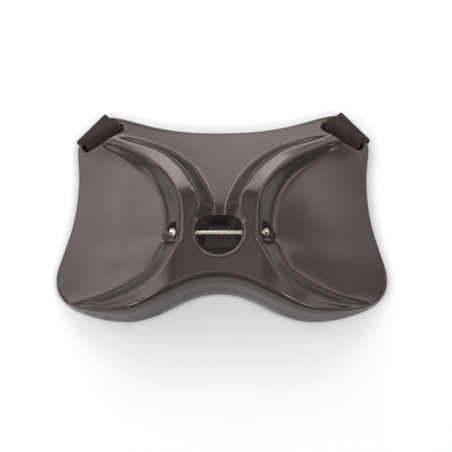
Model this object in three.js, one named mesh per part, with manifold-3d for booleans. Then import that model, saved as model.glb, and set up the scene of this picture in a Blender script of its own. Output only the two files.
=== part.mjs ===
// Rod gimbal belt plate: a moulded hollow plate lying on its back, with a rod
// cup, a cross bolt and two webbing straps. Millimetres, +Z up, +Y towards the
// top edge of the plate, +X to the right.
// Plan sizes are given from the cup axis and shifted to the footprint centre
// at the end.
import * as THREE from 'three';
import { mergeVertices } from 'three/addons/utils/BufferGeometryUtils.js';
import Module from 'manifold-3d';

const wasm = await Module();
wasm.setup();

// Plate, overall
const HALF_WIDTH = 200;
const CROWN = 14;
const EDGE_HEIGHT = 8;
const EDGE_ROUND = 3.6;
const WALL = 3.4;
const WALL_DRAFT = Math.tan(THREE.MathUtils.degToRad(8.5));
const PLATEAU = 64;
const WING_SWELL = 0.04;
const FOOTPRINT_CENTRE_Y = 36.4;

// Rod cup
const CUP_FLOOR = 19;
const CUP_FLOOR_RADIUS = 20.9;
const CUP_THROAT_RADIUS = 27.3;
const CUP_THROAT_Z = 60;
const CUP_MOUTH_RADIUS = 32.6;
const CUP_WALL = 3.4;
const CUP_BASE = 5;
const CUP_BASE_CHAMFER = 1.5;
// Inside of the cup and its rolled mouth: radius, z
const CUP_INSIDE = [
  [CUP_FLOOR_RADIUS - 1.6, CUP_FLOOR], [CUP_FLOOR_RADIUS, CUP_FLOOR + 1.4], [CUP_THROAT_RADIUS, CUP_THROAT_Z],
  [CUP_THROAT_RADIUS + 0.9, CUP_THROAT_Z + 2.1], [CUP_THROAT_RADIUS + 2.7, CUP_THROAT_Z + 3.5],
  [CUP_MOUTH_RADIUS, PLATEAU],
];
const CUP_SIDES = 48;

// Cross bolt, its bearing faces and the niches beside the boss
const BOLT_Z = 52.7;
const BOLT_RADIUS = 3;
const BOLT_CLEARANCE = 0.3;
const BEARING_X = 52;
const BEARING_WALL = 3.4;
const BOSS_TUBE_RADIUS = 6.8;
const BOSS_TUBE_START = 22;
const NICHE_RADIUS = 10;
const NICHE_STRAIGHT_END = 59.5;
const NICHE_ROUND_DEPTH = 9.8;
const NICHE_SIDES = 32;
const BOLT_SIDES = 20;
const FLANGE_SIDES = 24;
const HEX_ACROSS_FLATS = 10;
const FLANGE_RADIUS = 6.8;
const FLANGE_THICKNESS = 1.4;
const HEAD_THICKNESS = 4.6;
const WASHER_RADIUS = 5.2;
const WASHER_THICKNESS = 1.1;
const NUT_THICKNESS = 5;
const HEX_CHAMFER = 0.8;
const HEX_END_RATIO = 0.86;
const BOLT_TIP = 2;

// Strap slots
const SLOT_X = 148;
const SLOT_Y = 136;
const SLOT_ANGLE = THREE.MathUtils.degToRad(29.5);
const SLOT_LENGTH = 56.5;
const SLOT_WIDTH = 13;
const SLOT_RIM = 3;
const SLOT_RIM_BOTTOM = 8.5;
const SLOT_CORNER = 4;
const SLOT_CORNER_STEPS = 4;

// Straps
const STRAP_WIDTH = 50;
const STRAP_THICKNESS = 2;
const GAP = 0.3;
const FOLD_X = 165.9;
const FOLD_Y = 152.3;
const FOLD_ANGLE = THREE.MathUtils.degToRad(45.8);
const STRAP_TAIL_END = 68;
const STRAP_LEG = 148;

// Clasp
const CLASP_WIDTH = 62;
const CLASP_BAR = 8;
const CLASP_SLOT = 9;
const CLASP_BAR_THICKNESS = 4;
const SOCKET_LENGTH = 34;
const CLASP_THICKNESS = 11;
const CLASP_CORNER = 5;
const CLASP_SIDE_RAIL = 5;
const CLASP_COVER = 2.8;
const MOUTH_BACK = 4;
const PLUG_SHOULDER = 10;
const PRONG_LENGTH = 28;
const PRONG_THICKNESS = 3;
// Prongs of the plug: y, width
const PRONGS = [[-20, 8], [0, 7], [20, 8]];

// Outline of the rim, right half, from the bottom middle to the top middle: x, y
const OUTLINE = [
  [0, -64.5], [15, -65.7], [30, -69.5], [45, -75.5], [60, -83.5], [75, -90.2], [90, -95],
  [105, -97.4], [120, -96.8], [135, -94.8], [150, -91], [165, -85.8], [178, -79.5],
  [188, -72], [195, -63], [199, -53], [200, -43], [199, -33], [196, -22], [192.5, -11],
  [189, 1], [186, 11], [183.2, 23], [180.8, 36], [179.2, 50], [178.2, 64], [178, 80],
  [179, 97], [180.6, 112], [181.3, 122], [180, 131], [174.5, 139.2], [163.9, 150.3],
  [154, 160.4], [147, 165], [139, 166], [130, 164.3], [118, 161], [105, 156.8],
  [88, 151.5], [70, 147.3], [50, 143.8], [25, 141.6], [0, 141],
];

// Stations along the outer side of the ridge, right half, from the top edge
// past the waist to the lower corner: crest x, y, z, foot x, y, z, rim x, y.
const STATIONS = [
  [146, 161, 14.5, 153, 155.6, 13.5, 181.3, 122], [147, 129, 23, 151, 123, 16.5, 180.9, 114],
  [127, 120, 27, 132, 112.5, 18, 180, 104], [105, 108, 33, 112, 99.5, 21.5, 178.7, 93],
  [87, 97, 39, 96, 88, 25.5, 178.1, 84], [73, 84, 46, 83, 75, 30.5, 178, 76],
  [60.5, 67.5, 53, 73, 60, 35, 178.2, 65], [54.5, 58, 57, 68, 52, 38, 178.6, 57],
  [49, 46, 61, 64.5, 42, 40.5, 179.7, 46], [46, 34, 63.5, 63, 32, 42.5, 181, 35],
  [44.5, 22, 64, 62.3, 22, 43.5, 183.3, 22.5], [44.5, 8, 64, 62.3, 8, 43.8, 186.6, 9],
  [44.5, -6, 64, 62.5, -6, 44, 190.5, -4], [46, -12, 64, 64.5, -9.5, 44.5, 192.6, -11],
  [50, -17.5, 64, 68, -14, 44.5, 194.4, -16.5], [55, -25.5, 63.6, 72, -20.5, 44.5, 196.6, -23],
  [61.5, -36, 62.6, 76, -29, 43, 199, -32], [68.5, -45.5, 61, 80, -37.5, 41, 200, -39],
  [79, -56, 58.8, 88, -46, 39.5, 200, -44], [92, -65, 55, 99.5, -53.5, 36, 200, -48],
  [107, -72, 50, 112, -60, 32, 199, -52], [121, -76.5, 43.8, 124.5, -65, 28, 198.4, -55],
  [134, -79, 37, 137, -69, 23.5, 197.5, -58], [150, -79.5, 28.4, 152, -71.5, 18.5, 196.3, -60.6],
  [165, -78.5, 20.4, 167, -73, 14.5, 195, -63], [174, -77.5, 15.2, 178.5, -74.5, 13, 193, -66],
];
// Stations along the rod trough, from the top edge to the cup, matched to the
// first of those above: crest x, y, z, foot x, y, middle line y.
const TROUGH = [
  [132, 160.5, 15, 118, 157, 137], [134, 137, 24, 131.5, 143, 132], [113, 130, 28, 108.5, 138, 125],
  [94, 120, 33, 87, 130, 116.5], [78, 111.5, 38, 68.5, 122, 107], [60.5, 97, 44, 47, 108, 96],
  [46.5, 80.5, 51.5, 28.5, 91, 83], [40.5, 70.5, 55.3, 21, 80, 74], [34, 57.5, 59.8, 13, 64, 61.5],
  [28, 44.5, 63, 7, 47, 46], [25, 33, 64, 4.5, 33, 33], [28.5, 12, 64, 4.5, 12, 12],
];
// Rim points that end the columns at the top edge, the lower corner, the lower
// arm and under the cup: x, y
const TOP_RIM = [
  [0, 141], [40, 142.6], [80, 149.3], [118, 161], [125.5, 163.2], [132, 164.8], [139, 166],
  [146, 165.4], [155.5, 159], [163.9, 150.3], [170, 144], [175.5, 138], [180, 131], [181.3, 122],
];
const CORNER_RIM = [
  [193, -66], [190.8, -69], [188.4, -71.6], [186, -73.9], [183.5, -76], [181, -77.7], [176, -80.6],
];
const LOWER_RIM = [
  [66, -86.3], [79, -91.7], [92, -95.5], [106, -97.4], [120, -96.8],
  [134, -95], [150, -91], [165, -85.8], [176, -80.6],
];
const CUP_RIM = [
  [0, -64.5], [9, -65], [18, -66.2], [28, -68.9], [38, -72.4], [48, -77], [57, -81.8], [66, -86.3],
];
// Stations that meet the last trough row and the start of the lower arm, the
// steps between stations and the cells across each part of the front
const WAIST_STATION = 11;
const LEG_STATION = 17;
const STEPS = 2;
const PANEL_CELLS = 3;
const WALL_CELLS = 2;
const ARM_CELLS = 2;
const WING_CELLS = 5;
const LEG_CELLS = 2;

// Height of the ridge top along the lower arms: |x|, z
const LOWER_TOP = [
  [0, 64], [50, 64], [57, 63.2], [67, 61.4], [79, 58.8], [92, 55], [106, 50.2], [121, 43.8],
  [135, 36.6], [150, 28.4], [162, 21.8], [175, 15.2], [187, 10], [215, 2],
];
const TROUGH_Z = 49;
const TROUGH_START_Y = 32;
const TROUGH_SLOPE = 0.248;

function finish(name, color, roughness, metalness) {
  return new THREE.MeshStandardMaterial({ name, color, roughness, metalness });
}
const plastic = finish('moulded_plastic', 0x6d6561, 0.42, 0.15);
const steel = finish('bright_steel', 0xc9c4b8, 0.25, 1);
const webbing = finish('webbing', 0x3d3330, 0.9, 0);
const claspPlastic = finish('clasp_plastic', 0x1d1c1c, 0.5, 0);

// Straight-line reading of a table of [input, output] rows.
function lookUp(table, value) {
  if (value <= table[0][0]) return table[0][1];
  for (let i = 1; i < table.length; i += 1) {
    if (value <= table[i][0]) {
      const [x0, y0] = table[i - 1];
      const [x1, y1] = table[i];
      return y0 + ((y1 - y0) * (value - x0)) / (x1 - x0);
    }
  }
  return table[table.length - 1][1];
}

const smooth = (a, b, v) => THREE.MathUtils.smoothstep(v, a, b);
const panelHeight = (y) => TROUGH_Z - TROUGH_SLOPE * (y - TROUGH_START_Y);
const rimHeight = (x) => CROWN * (1 - (x / HALF_WIDTH) ** 2);

// Triangles over a closed plan loop, all facing up.
function upwardFaces(ring) {
  const contour = ring.map((p) => new THREE.Vector2(p[0], p[1]));
  const faces = THREE.ShapeUtils.triangulateShape(contour, []);
  const signed = faces.reduce((sum, face) => sum + THREE.ShapeUtils.area(face.map((k) => contour[k])), 0);
  return signed > 0 ? faces : faces.map(([a, b, c]) => [a, c, b]);
}

// Solid for cutting and joining, from points and the triangles between them.
function body(verts, tris) {
  return new wasm.Manifold(new wasm.Mesh({
    numProp: 3,
    vertProperties: new Float32Array(verts),
    triVerts: new Uint32Array(tris),
  }));
}

// The same from a closed shape, whose seams are merged and whose triangles
// without an area, at the ends of a turned shape, are left out.
function solidOf(geometry) {
  geometry.deleteAttribute('normal');
  geometry.deleteAttribute('uv');
  const merged = mergeVertices(geometry, 1e-4);
  const { array } = merged.index;
  const tris = [];
  for (let i = 0; i < array.length; i += 3) {
    const [a, b, c] = array.slice(i, i + 3);
    if (a !== b && b !== c && a !== c) tris.push(a, b, c);
  }
  return body(merged.attributes.position.array, tris);
}

// The same solid on the other side of the middle plane.
function mirrored(solid) {
  const { vertProperties, triVerts } = solid.getMesh();
  return body(vertProperties.map((v, i) => (i % 3 === 0 ? -v : v)), triVerts.toReversed());
}

const both = (solid) => solid.add(mirrored(solid));

// Turned shape standing on Z, from rows of radius and height, lowest first.
function turned(profile, sides) {
  const rows = [[0, profile[0][1]], ...profile, [0, profile[profile.length - 1][1]]];
  const points = rows.map(([radius, height]) => new THREE.Vector2(radius, height));
  return new THREE.LatheGeometry(points, sides).rotateX(Math.PI / 2);
}

// Turned solid about the bolt's axis, from rows of radius and x.
function acrossBody(profile, sides, turn = 0) {
  return solidOf(turned(profile, sides).rotateZ(turn).rotateY(Math.PI / 2).translate(0, 0, BOLT_Z));
}

// Box between two opposite corners.
function boxBody([x0, y0, z0], [x1, y1, z1]) {
  const box = new THREE.BoxGeometry(x1 - x0, y1 - y0, z1 - z0);
  return solidOf(box.translate((x0 + x1) / 2, (y0 + y1) / 2, (z0 + z1) / 2));
}

const extruded = (shape, depth, curveSegments = 1) => new THREE.ExtrudeGeometry(
  shape, { depth, curveSegments, bevelEnabled: false },
);

// Dense points of the outline's right half with the inward direction at each.
const outlineCurve = new THREE.CatmullRomCurve3(
  [[-15, -65.7], ...OUTLINE, [-25, 141.6]].map(([x, y]) => new THREE.Vector3(x, y, 0)), false, 'centripetal',
);
const outlinePoints = outlineCurve.getPoints(2400).map((p, i) => {
  const t = outlineCurve.getTangent(i / 2400);
  return { x: p.x, y: p.y, inX: -t.y, inY: t.x };
});

// Rim point: the outline's point nearest to a plan position, with the height of
// the front surface just inside it.
function rimPoint([x, y]) {
  let best = outlinePoints[0];
  let least = Infinity;
  for (const p of outlinePoints) {
    const d = (p.x - x) ** 2 + (p.y - y) ** 2;
    if (d < least) {
      least = d;
      best = p;
    }
  }
  const middle = x === 0;
  const px = middle ? 0 : best.x;
  const low = best.y < -60 ? lookUp(LOWER_TOP, px) : 0;
  return {
    x: px, y: best.y, inX: middle ? 0 : best.inX, inY: middle ? Math.sign(best.inY) : best.inY,
    top: Math.max(rimHeight(px) + EDGE_HEIGHT, low),
  };
}

const inset = (p, distance, z) => [p.x + p.inX * distance, p.y + p.inY * distance, z];
const straightWall = (p) => (p.top - EDGE_ROUND - rimHeight(p.x)) * WALL_DRAFT;
const edgePoint = (p) => inset(p, straightWall(p) + EDGE_ROUND, p.top);

// Smooth rows between table rows, every column by the same uniform spline.
function refine(rows, steps) {
  const last = rows.length - 1;
  const out = [];
  for (let i = 0; i < last; i += 1) {
    const a = rows[Math.max(i - 1, 0)];
    const b = rows[i];
    const c = rows[i + 1];
    const d = rows[Math.min(i + 2, last)];
    for (let j = 0; j < steps; j += 1) {
      const t = j / steps;
      out.push(b.map((v, k) => 0.5 * (2 * v + (c[k] - a[k]) * t
        + (2 * a[k] - 5 * v + 4 * c[k] - d[k]) * t * t + (3 * v - a[k] - 3 * c[k] + d[k]) * t * t * t)));
    }
  }
  out.push([...rows[last]]);
  return out;
}

const mix = (p, q, t) => p.map((v, i) => v + (q[i] - v) * t);

// Row of points between two, in equal cells.
const between = (p, q, cells) => Array.from({ length: cells + 1 }, (_, i) => mix(p, q, i / cells));

// Moves the inner points of rows near a block's end so that the end row meets
// the given points; the shift dies out over the given number of rows.
function bendTo(rows, end, reach) {
  const first = rows[0];
  const shift = end.map((p, i) => [p[0] - first[i][0], p[1] - first[i][1], p[2] - first[i][2]]);
  for (let r = 0; r < Math.min(reach, rows.length); r += 1) {
    const w = 1 - smooth(0, reach, r);
    for (let i = 1; i + 1 < rows[r].length; i += 1) {
      rows[r][i] = rows[r][i].map((v, k) => v + shift[i][k] * w);
    }
  }
  rows[0] = end;
}

// Front surface of the right half as blocks of rows of points, and the rim
// points that its edge ends on, from the top middle to the bottom middle.
function frontBlocks() {
  const topRim = TOP_RIM.map(rimPoint);
  const cornerRim = CORNER_RIM.map(rimPoint);
  const cupRim = CUP_RIM.map(rimPoint);
  const lowerRim = refine(LOWER_RIM, STEPS).map(rimPoint);
  const upperColumns = PANEL_CELLS + WALL_CELLS + ARM_CELLS;

  const stations = refine(STATIONS, STEPS);
  const trough = refine(TROUGH, STEPS);
  const last = stations.length - 1;
  const level = ([x, y, z]) => [x, y, Math.min(z, PLATEAU)];
  const crest = stations.map((row) => level(row));
  const foot = stations.map((row) => row.slice(3, 6));
  const sideRim = stations.map((row) => rimPoint(row.slice(6, 8)));
  crest[0] = edgePoint(topRim[upperColumns]);
  foot[0] = edgePoint(topRim[upperColumns + 1]);
  foot[last] = edgePoint(cornerRim[WING_CELLS]);
  crest[last] = edgePoint(cornerRim[WING_CELLS + 1]);

  const wing = stations.map((_, k) => {
    const edge = edgePoint(sideRim[k]);
    return between(foot[k], edge, WING_CELLS).map(([x, y], i) => {
      const u = i / WING_CELLS;
      const fall = u + WING_SWELL * Math.sin(2 * Math.PI * u);
      return [x, y, foot[k][2] + (edge[2] - foot[k][2]) * fall];
    });
  });
  bendTo(wing, topRim.slice(upperColumns + 1).map(edgePoint), 2 * STEPS);
  wing.reverse();
  bendTo(wing, cornerRim.slice(0, WING_CELLS + 1).reverse().map(edgePoint), 2 * STEPS);
  wing.reverse();
  const flank = crest.map((p, k) => [p, foot[k]]);

  const upper = trough.map(([cx, cy, cz, fx, fy, my], k) => {
    const panel = between([0, my, 0], [fx, fy, 0], PANEL_CELLS).map(([x, y]) => [x, y, panelHeight(y)]);
    const ridge = level([cx, cy, cz]);
    const wall = between(panel[PANEL_CELLS], ridge, WALL_CELLS).slice(1);
    return [...panel, ...wall, ...between(ridge, crest[k], ARM_CELLS).slice(1)];
  });
  bendTo(upper, topRim.slice(0, upperColumns + 1).map(edgePoint), 2 * STEPS);

  // The boss below the cup: a patch between its four borders.
  const waist = WAIST_STATION * STEPS;
  const legStart = LEG_STATION * STEPS;
  const bottom = cupRim.map(edgePoint);
  const toRim = between(crest[legStart], bottom[upperColumns], LEG_CELLS).slice(1);
  const right = [...crest.slice(waist, legStart + 1), ...toRim];
  const cells = right.length - 1;
  const start = upper[upper.length - 1];
  const left = between(start[0], bottom[0], cells);
  const boss = right.map((r, j) => {
    const v = j / cells;
    return start.map((top, i) => {
      const u = i / upperColumns;
      const x = (1 - u) * left[j][0] + u * r[0] + (1 - v) * top[0] + v * bottom[i][0]
        - (1 - u) * (1 - v) * left[0][0] - u * (1 - v) * right[0][0]
        - (1 - u) * v * bottom[0][0] - u * v * right[cells][0];
      const y = (1 - u) * left[j][1] + u * r[1] + (1 - v) * top[1] + v * bottom[i][1]
        - (1 - u) * (1 - v) * left[0][1] - u * (1 - v) * right[0][1]
        - (1 - u) * v * bottom[0][1] - u * v * right[cells][1];
      return [x, y, lookUp(LOWER_TOP, x)];
    });
  });
  boss[0] = start;
  boss[cells] = bottom;
  boss.forEach((row, j) => { row[upperColumns] = right[j]; });

  const leg = lowerRim.map((p, j) => between(crest[legStart + j], edgePoint(p), LEG_CELLS));
  for (let i = 0; i <= LEG_CELLS; i += 1) leg[0][i] = right[cells - LEG_CELLS + i];

  const rim = [
    ...topRim, ...sideRim.slice(1, last), ...cornerRim,
    ...lowerRim.slice(1, -1).reverse(), ...[...cupRim].reverse(),
  ];
  return { blocks: [wing, flank, upper, boss, leg], rim, leg };
}

// Front surface as shared points and triangles, both halves, with the normal
// and the number of each rim point.
function frontSurface() {
  const { blocks, rim, leg } = frontBlocks();
  const points = [];
  const faces = [];
  const known = new Map();
  const index = ([x, y, z]) => {
    const key = `${Math.round(x * 1e4)},${Math.round(y * 1e4)},${Math.round(z * 1e4)}`;
    if (!known.has(key)) {
      known.set(key, points.length);
      points.push(new THREE.Vector3(x, y, z));
    }
    return known.get(key);
  };
  const cell = (corners, side) => {
    const [a, b, c, d] = corners.map(([x, y, z]) => index([x * side, y, z]));
    const shortWay = points[a].distanceTo(points[c]) <= points[b].distanceTo(points[d]);
    const pair = shortWay ? [[a, b, c], [a, c, d]] : [[a, b, d], [b, c, d]];
    for (const [i, j, k] of pair) {
      if (i !== j && j !== k && i !== k) faces.push(side > 0 ? [i, j, k] : [i, k, j]);
    }
  };
  for (const block of blocks) {
    for (let j = 0; j + 1 < block.length; j += 1) {
      for (let i = 0; i + 1 < block[j].length; i += 1) {
        const corners = [block[j][i], block[j + 1][i], block[j + 1][i + 1], block[j][i + 1]];
        if (block === leg) corners.reverse();
        for (const side of [1, -1]) cell(corners, side);
      }
    }
  }
  const facing = faces.map(([a, b, c]) => new THREE.Vector3()
    .crossVectors(points[b].clone().sub(points[a]), points[c].clone().sub(points[a])));
  const normals = points.map(() => new THREE.Vector3());
  faces.forEach((face, f) => face.forEach((i) => normals[i].add(facing[f])));
  normals.forEach((n) => n.normalize());
  const reach = points.map(() => 1);
  faces.forEach((face, f) => {
    const unit = facing[f].clone().normalize();
    face.forEach((i) => { reach[i] = Math.min(reach[i], unit.dot(normals[i])); });
  });
  const left = rim.slice(1, -1).reverse().map((p) => ({ ...p, x: -p.x, inX: -p.inX }));
  const loop = [...rim, ...left];
  return { points, faces, normals, reach, loop, edge: loop.map((p) => index(edgePoint(p))) };
}

const front = frontSurface();

// Height of the front surface at a plan position.
function frontHeight(x, y) {
  let height = -Infinity;
  for (const [a, b, c] of front.faces) {
    const [p, q, r] = [front.points[a], front.points[b], front.points[c]];
    const area = (q.x - p.x) * (r.y - p.y) - (r.x - p.x) * (q.y - p.y);
    const u = ((x - p.x) * (r.y - p.y) - (r.x - p.x) * (y - p.y)) / area;
    const v = ((q.x - p.x) * (y - p.y) - (x - p.x) * (q.y - p.y)) / area;
    const z = p.z + u * (q.z - p.z) + v * (r.z - p.z);
    if (u >= 0 && v >= 0 && u + v <= 1) height = Math.max(height, z);
  }
  return height;
}

// The plate as a full body down to a flat end far below the rim: the front
// surface, the edge and the wall below it. A depth above zero gives the body
// of the hollow, that much inside the front and the wall. Where a ridge is
// sharp the hollow steps back further, up to the limit given.
function plateFill(depth) {
  const sharpest = 0.78;
  const bottom = depth > 0 ? -40 : -30;
  const points = front.points.map((p, i) => {
    const reach = depth / Math.max(front.reach[i], sharpest);
    return p.clone().addScaledVector(front.normals[i], -reach);
  });
  const faces = [...front.faces];
  const rings = front.loop.map((p, i) => {
    const wall = straightWall(p);
    const rim = rimHeight(p.x);
    if (depth > 0) {
      points[front.edge[i]].set(...inset(p, wall + EDGE_ROUND + 0.5, p.top - depth));
      return [inset(p, depth, rim), inset(p, depth, bottom)];
    }
    return [
      inset(p, wall + EDGE_ROUND * 0.32, p.top - EDGE_ROUND * 0.3), inset(p, wall, p.top - EDGE_ROUND),
      inset(p, 0, rim), inset(p, 0, bottom),
    ];
  });
  const numbered = (p) => points.push(new THREE.Vector3(...p)) - 1;
  const ids = rings.map((ring, i) => [front.edge[i], ...ring.map(numbered)]);
  for (let i = 0; i < ids.length; i += 1) {
    const here = ids[i];
    const next = ids[(i + 1) % ids.length];
    for (let r = 0; r + 1 < next.length; r += 1) {
      faces.push([here[r], next[r], next[r + 1]], [here[r], next[r + 1], here[r + 1]]);
    }
  }
  const under = ids.map((ring) => ring[ring.length - 1]);
  for (const [a, b, c] of upwardFaces(under.map((i) => [points[i].x, points[i].y]))) {
    faces.push([under[a], under[c], under[b]]);
  }
  return body(points.flatMap((p) => [p.x, p.y, p.z]), faces.flat());
}

// Everything below the curved rim.
function belowRim() {
  const reach = HALF_WIDTH + 15;
  const spans = 30;
  const shape = new THREE.Shape([new THREE.Vector2(-reach, -60), new THREE.Vector2(reach, -60)]);
  for (let i = 0; i <= spans; i += 1) {
    const x = reach - (2 * reach * i) / spans;
    shape.lineTo(x, rimHeight(x));
  }
  return solidOf(extruded(shape, 330).rotateX(Math.PI / 2).translate(0, 200, 0));
}

// Rounded block over both strap slots, larger than the slot by a margin.
function slotBlock(margin, low, high) {
  const shape = new THREE.Shape();
  const reachX = SLOT_LENGTH / 2 - SLOT_CORNER;
  const reachY = SLOT_WIDTH / 2 - SLOT_CORNER;
  [[1, -1], [1, 1], [-1, 1], [-1, -1]].forEach(([sideX, sideY], i) => {
    const start = (i - 1) * (Math.PI / 2);
    shape.absarc(sideX * reachX, sideY * reachY, SLOT_CORNER + margin, start, start + Math.PI / 2);
  });
  const block = extruded(shape, high - low, SLOT_CORNER_STEPS);
  return both(solidOf(block.rotateZ(-SLOT_ANGLE).translate(SLOT_X, SLOT_Y, low)));
}

// Niche for the bolt's ends, larger by a margin: a straight stretch from the
// bearing face and a rounded end. Rows of radius and x.
function nicheProfile(margin) {
  const radius = NICHE_RADIUS + margin;
  const rows = [[radius, BEARING_X - margin]];
  for (let degrees = 0; degrees <= 80; degrees += 20) {
    const angle = THREE.MathUtils.degToRad(degrees);
    rows.push([
      radius * Math.cos(angle), NICHE_STRAIGHT_END + (NICHE_ROUND_DEPTH + margin) * Math.sin(angle),
    ]);
  }
  return rows;
}

function makePlate() {
  const full = plateFill(0).subtract(belowRim());
  const hollow = plateFill(WALL);

  const baseRadius = CUP_FLOOR_RADIUS + CUP_WALL;
  const baseZ = CUP_FLOOR - CUP_BASE;
  const cup = solidOf(turned([
    [baseRadius - CUP_BASE_CHAMFER, baseZ], [baseRadius, baseZ + CUP_BASE_CHAMFER],
    [CUP_THROAT_RADIUS + CUP_WALL, CUP_THROAT_Z + 3],
  ], CUP_SIDES));
  const cupHole = solidOf(turned([...CUP_INSIDE, [CUP_MOUTH_RADIUS, PLATEAU + 30]], CUP_SIDES));
  const tubes = both(acrossBody([
    [BOSS_TUBE_RADIUS, BOSS_TUBE_START], [BOSS_TUBE_RADIUS, BEARING_X],
  ], FLANGE_SIDES));
  const housing = both(acrossBody(nicheProfile(BEARING_WALL), NICHE_SIDES));
  const niche = both(acrossBody(nicheProfile(0), NICHE_SIDES));
  const boltHole = acrossBody([
    [BOLT_RADIUS + BOLT_CLEARANCE, -BEARING_X - 8], [BOLT_RADIUS + BOLT_CLEARANCE, BEARING_X + 8],
  ], BOLT_SIDES);

  return full.subtract(hollow)
    .add(cup.add(tubes).add(housing).intersect(full))
    .add(slotBlock(SLOT_RIM, SLOT_RIM_BOTTOM, 60).intersect(full))
    .subtract(slotBlock(0, -30, 80))
    .subtract(niche)
    .subtract(cupHole)
    .subtract(boltHole);
}

const hexRadius = HEX_ACROSS_FLATS / 2 / Math.cos(Math.PI / 6);

function makeBolt() {
  const under = BEARING_X + GAP;
  const flangeEnd = -under - FLANGE_THICKNESS;
  const headEnd = flangeEnd - HEAD_THICKNESS;
  const tip = under + WASHER_THICKNESS + 2 * GAP + NUT_THICKNESS + BOLT_TIP;
  const shank = acrossBody([
    [BOLT_RADIUS, flangeEnd + 0.5], [BOLT_RADIUS, tip - HEX_CHAMFER], [BOLT_RADIUS - HEX_CHAMFER, tip],
  ], BOLT_SIDES);
  const flange = acrossBody([[FLANGE_RADIUS, flangeEnd], [FLANGE_RADIUS, -under]], FLANGE_SIDES);
  const head = acrossBody([
    [hexRadius * HEX_END_RATIO, headEnd], [hexRadius, headEnd + HEX_CHAMFER], [hexRadius, flangeEnd + 0.5],
  ], 6, Math.PI / 2);
  return shank.add(flange).add(head);
}

function makeWasher() {
  const start = BEARING_X + GAP;
  const disc = acrossBody([[WASHER_RADIUS, start], [WASHER_RADIUS, start + WASHER_THICKNESS]], FLANGE_SIDES);
  return disc.subtract(boltBore(start));
}

function makeNut() {
  const start = BEARING_X + 2 * GAP + WASHER_THICKNESS;
  const end = start + NUT_THICKNESS;
  const nut = acrossBody([
    [hexRadius, start], [hexRadius, end - HEX_CHAMFER], [hexRadius * HEX_END_RATIO, end],
  ], 6, Math.PI / 2);
  return nut.subtract(boltBore(start));
}

// Bore of the washer and the nut, through and past both.
function boltBore(start) {
  const radius = BOLT_RADIUS + BOLT_CLEARANCE;
  return acrossBody([[radius, start - 1], [radius, start + 2 * NUT_THICKNESS]], BOLT_SIDES);
}

// Flat strip through a list of cross-lines. Each row holds the middle of the
// strip's centre surface, the direction across the strip and the rise from the
// middle to that side.
function strip(rows, width, thickness) {
  const edge = (row, side) => new THREE.Vector3(
    row.x + (row.acrossX * side * width) / 2,
    row.y + (row.acrossY * side * width) / 2,
    row.z + (row.rise || 0) * side,
  );
  const rings = rows.map((row, i) => {
    const before = rows[Math.max(i - 1, 0)];
    const after = rows[Math.min(i + 1, rows.length - 1)];
    const corners = [];
    for (const side of [-1, 1]) {
      const here = edge(row, side);
      const into = here.clone().sub(edge(before, side));
      const out = edge(after, side).sub(here);
      if (into.lengthSq() === 0) into.copy(out);
      if (out.lengthSq() === 0) out.copy(into);
      into.normalize();
      out.normalize();
      const across = new THREE.Vector3(row.acrossX, row.acrossY, 0);
      const normal = across.clone().cross(into.clone().add(out)).normalize();
      const miter = 1 / Math.max(0.6, Math.cos(into.angleTo(out) / 2));
      corners.push([here, normal.multiplyScalar((thickness / 2) * miter)]);
    }
    const [[a, na], [b, nb]] = corners;
    return [a.clone().sub(na), b.clone().sub(nb), b.clone().add(nb), a.clone().add(na)];
  });
  const verts = rings.flat().flatMap((p) => [p.x, p.y, p.z]);
  const tris = [];
  const last = (rings.length - 1) * 4;
  for (let r = 0; r + 1 < rings.length; r += 1) {
    for (let i = 0; i < 4; i += 1) {
      const a = r * 4 + i;
      const b = r * 4 + ((i + 1) % 4);
      tris.push(a, b + 4, b, a, a + 4, b + 4);
    }
  }
  tris.push(0, 2, 3, 0, 1, 2, last, last + 2, last + 1, last, last + 3, last + 2);
  return body(verts, tris);
}

const foldOut = [Math.sin(FOLD_ANGLE), Math.cos(FOLD_ANGLE)];
const foldAcross = [-Math.cos(FOLD_ANGLE), Math.sin(FOLD_ANGLE)];
const slotOut = [Math.sin(SLOT_ANGLE), Math.cos(SLOT_ANGLE)];
const slotAcross = [-Math.cos(SLOT_ANGLE), Math.sin(SLOT_ANGLE)];

// Cross-line beside the slot or the corner fold, moved outwards by a distance.
function atSlot(distance, z) {
  return {
    x: SLOT_X + slotOut[0] * distance, y: SLOT_Y + slotOut[1] * distance, z,
    acrossX: slotAcross[0], acrossY: slotAcross[1],
  };
}

function atFold(distance, z) {
  return {
    x: FOLD_X + foldOut[0] * distance, y: FOLD_Y + foldOut[1] * distance, z,
    acrossX: foldAcross[0], acrossY: foldAcross[1],
  };
}

// Lays a cross-line on the front surface: it leans with the surface, and no
// part of it dips below. Its row gives a height above that.
function onSurface(row) {
  const samples = [];
  for (let t = -1; t <= 1; t += 0.2) {
    const reach = (t * STRAP_WIDTH) / 2;
    const height = frontHeight(row.x + reach * row.acrossX, row.y + reach * row.acrossY);
    if (Number.isFinite(height)) samples.push([t, height]);
  }
  const [firstT, firstZ] = samples[0];
  const [lastT, lastZ] = samples[samples.length - 1];
  const rise = (lastZ - firstZ) / (lastT - firstT);
  const top = Math.max(...samples.map(([t, height]) => height - rise * t));
  return { ...row, rise, z: top + GAP + STRAP_THICKNESS / 2 + row.z };
}

function midway(a, b, t) {
  const acrossX = a.acrossX + (b.acrossX - a.acrossX) * t;
  const acrossY = a.acrossY + (b.acrossY - a.acrossY) * t;
  const length = Math.hypot(acrossX, acrossY);
  return {
    x: a.x + (b.x - a.x) * t, y: a.y + (b.y - a.y) * t, z: a.z + (b.z - a.z) * t,
    acrossX: acrossX / length, acrossY: acrossY / length,
  };
}

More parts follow.
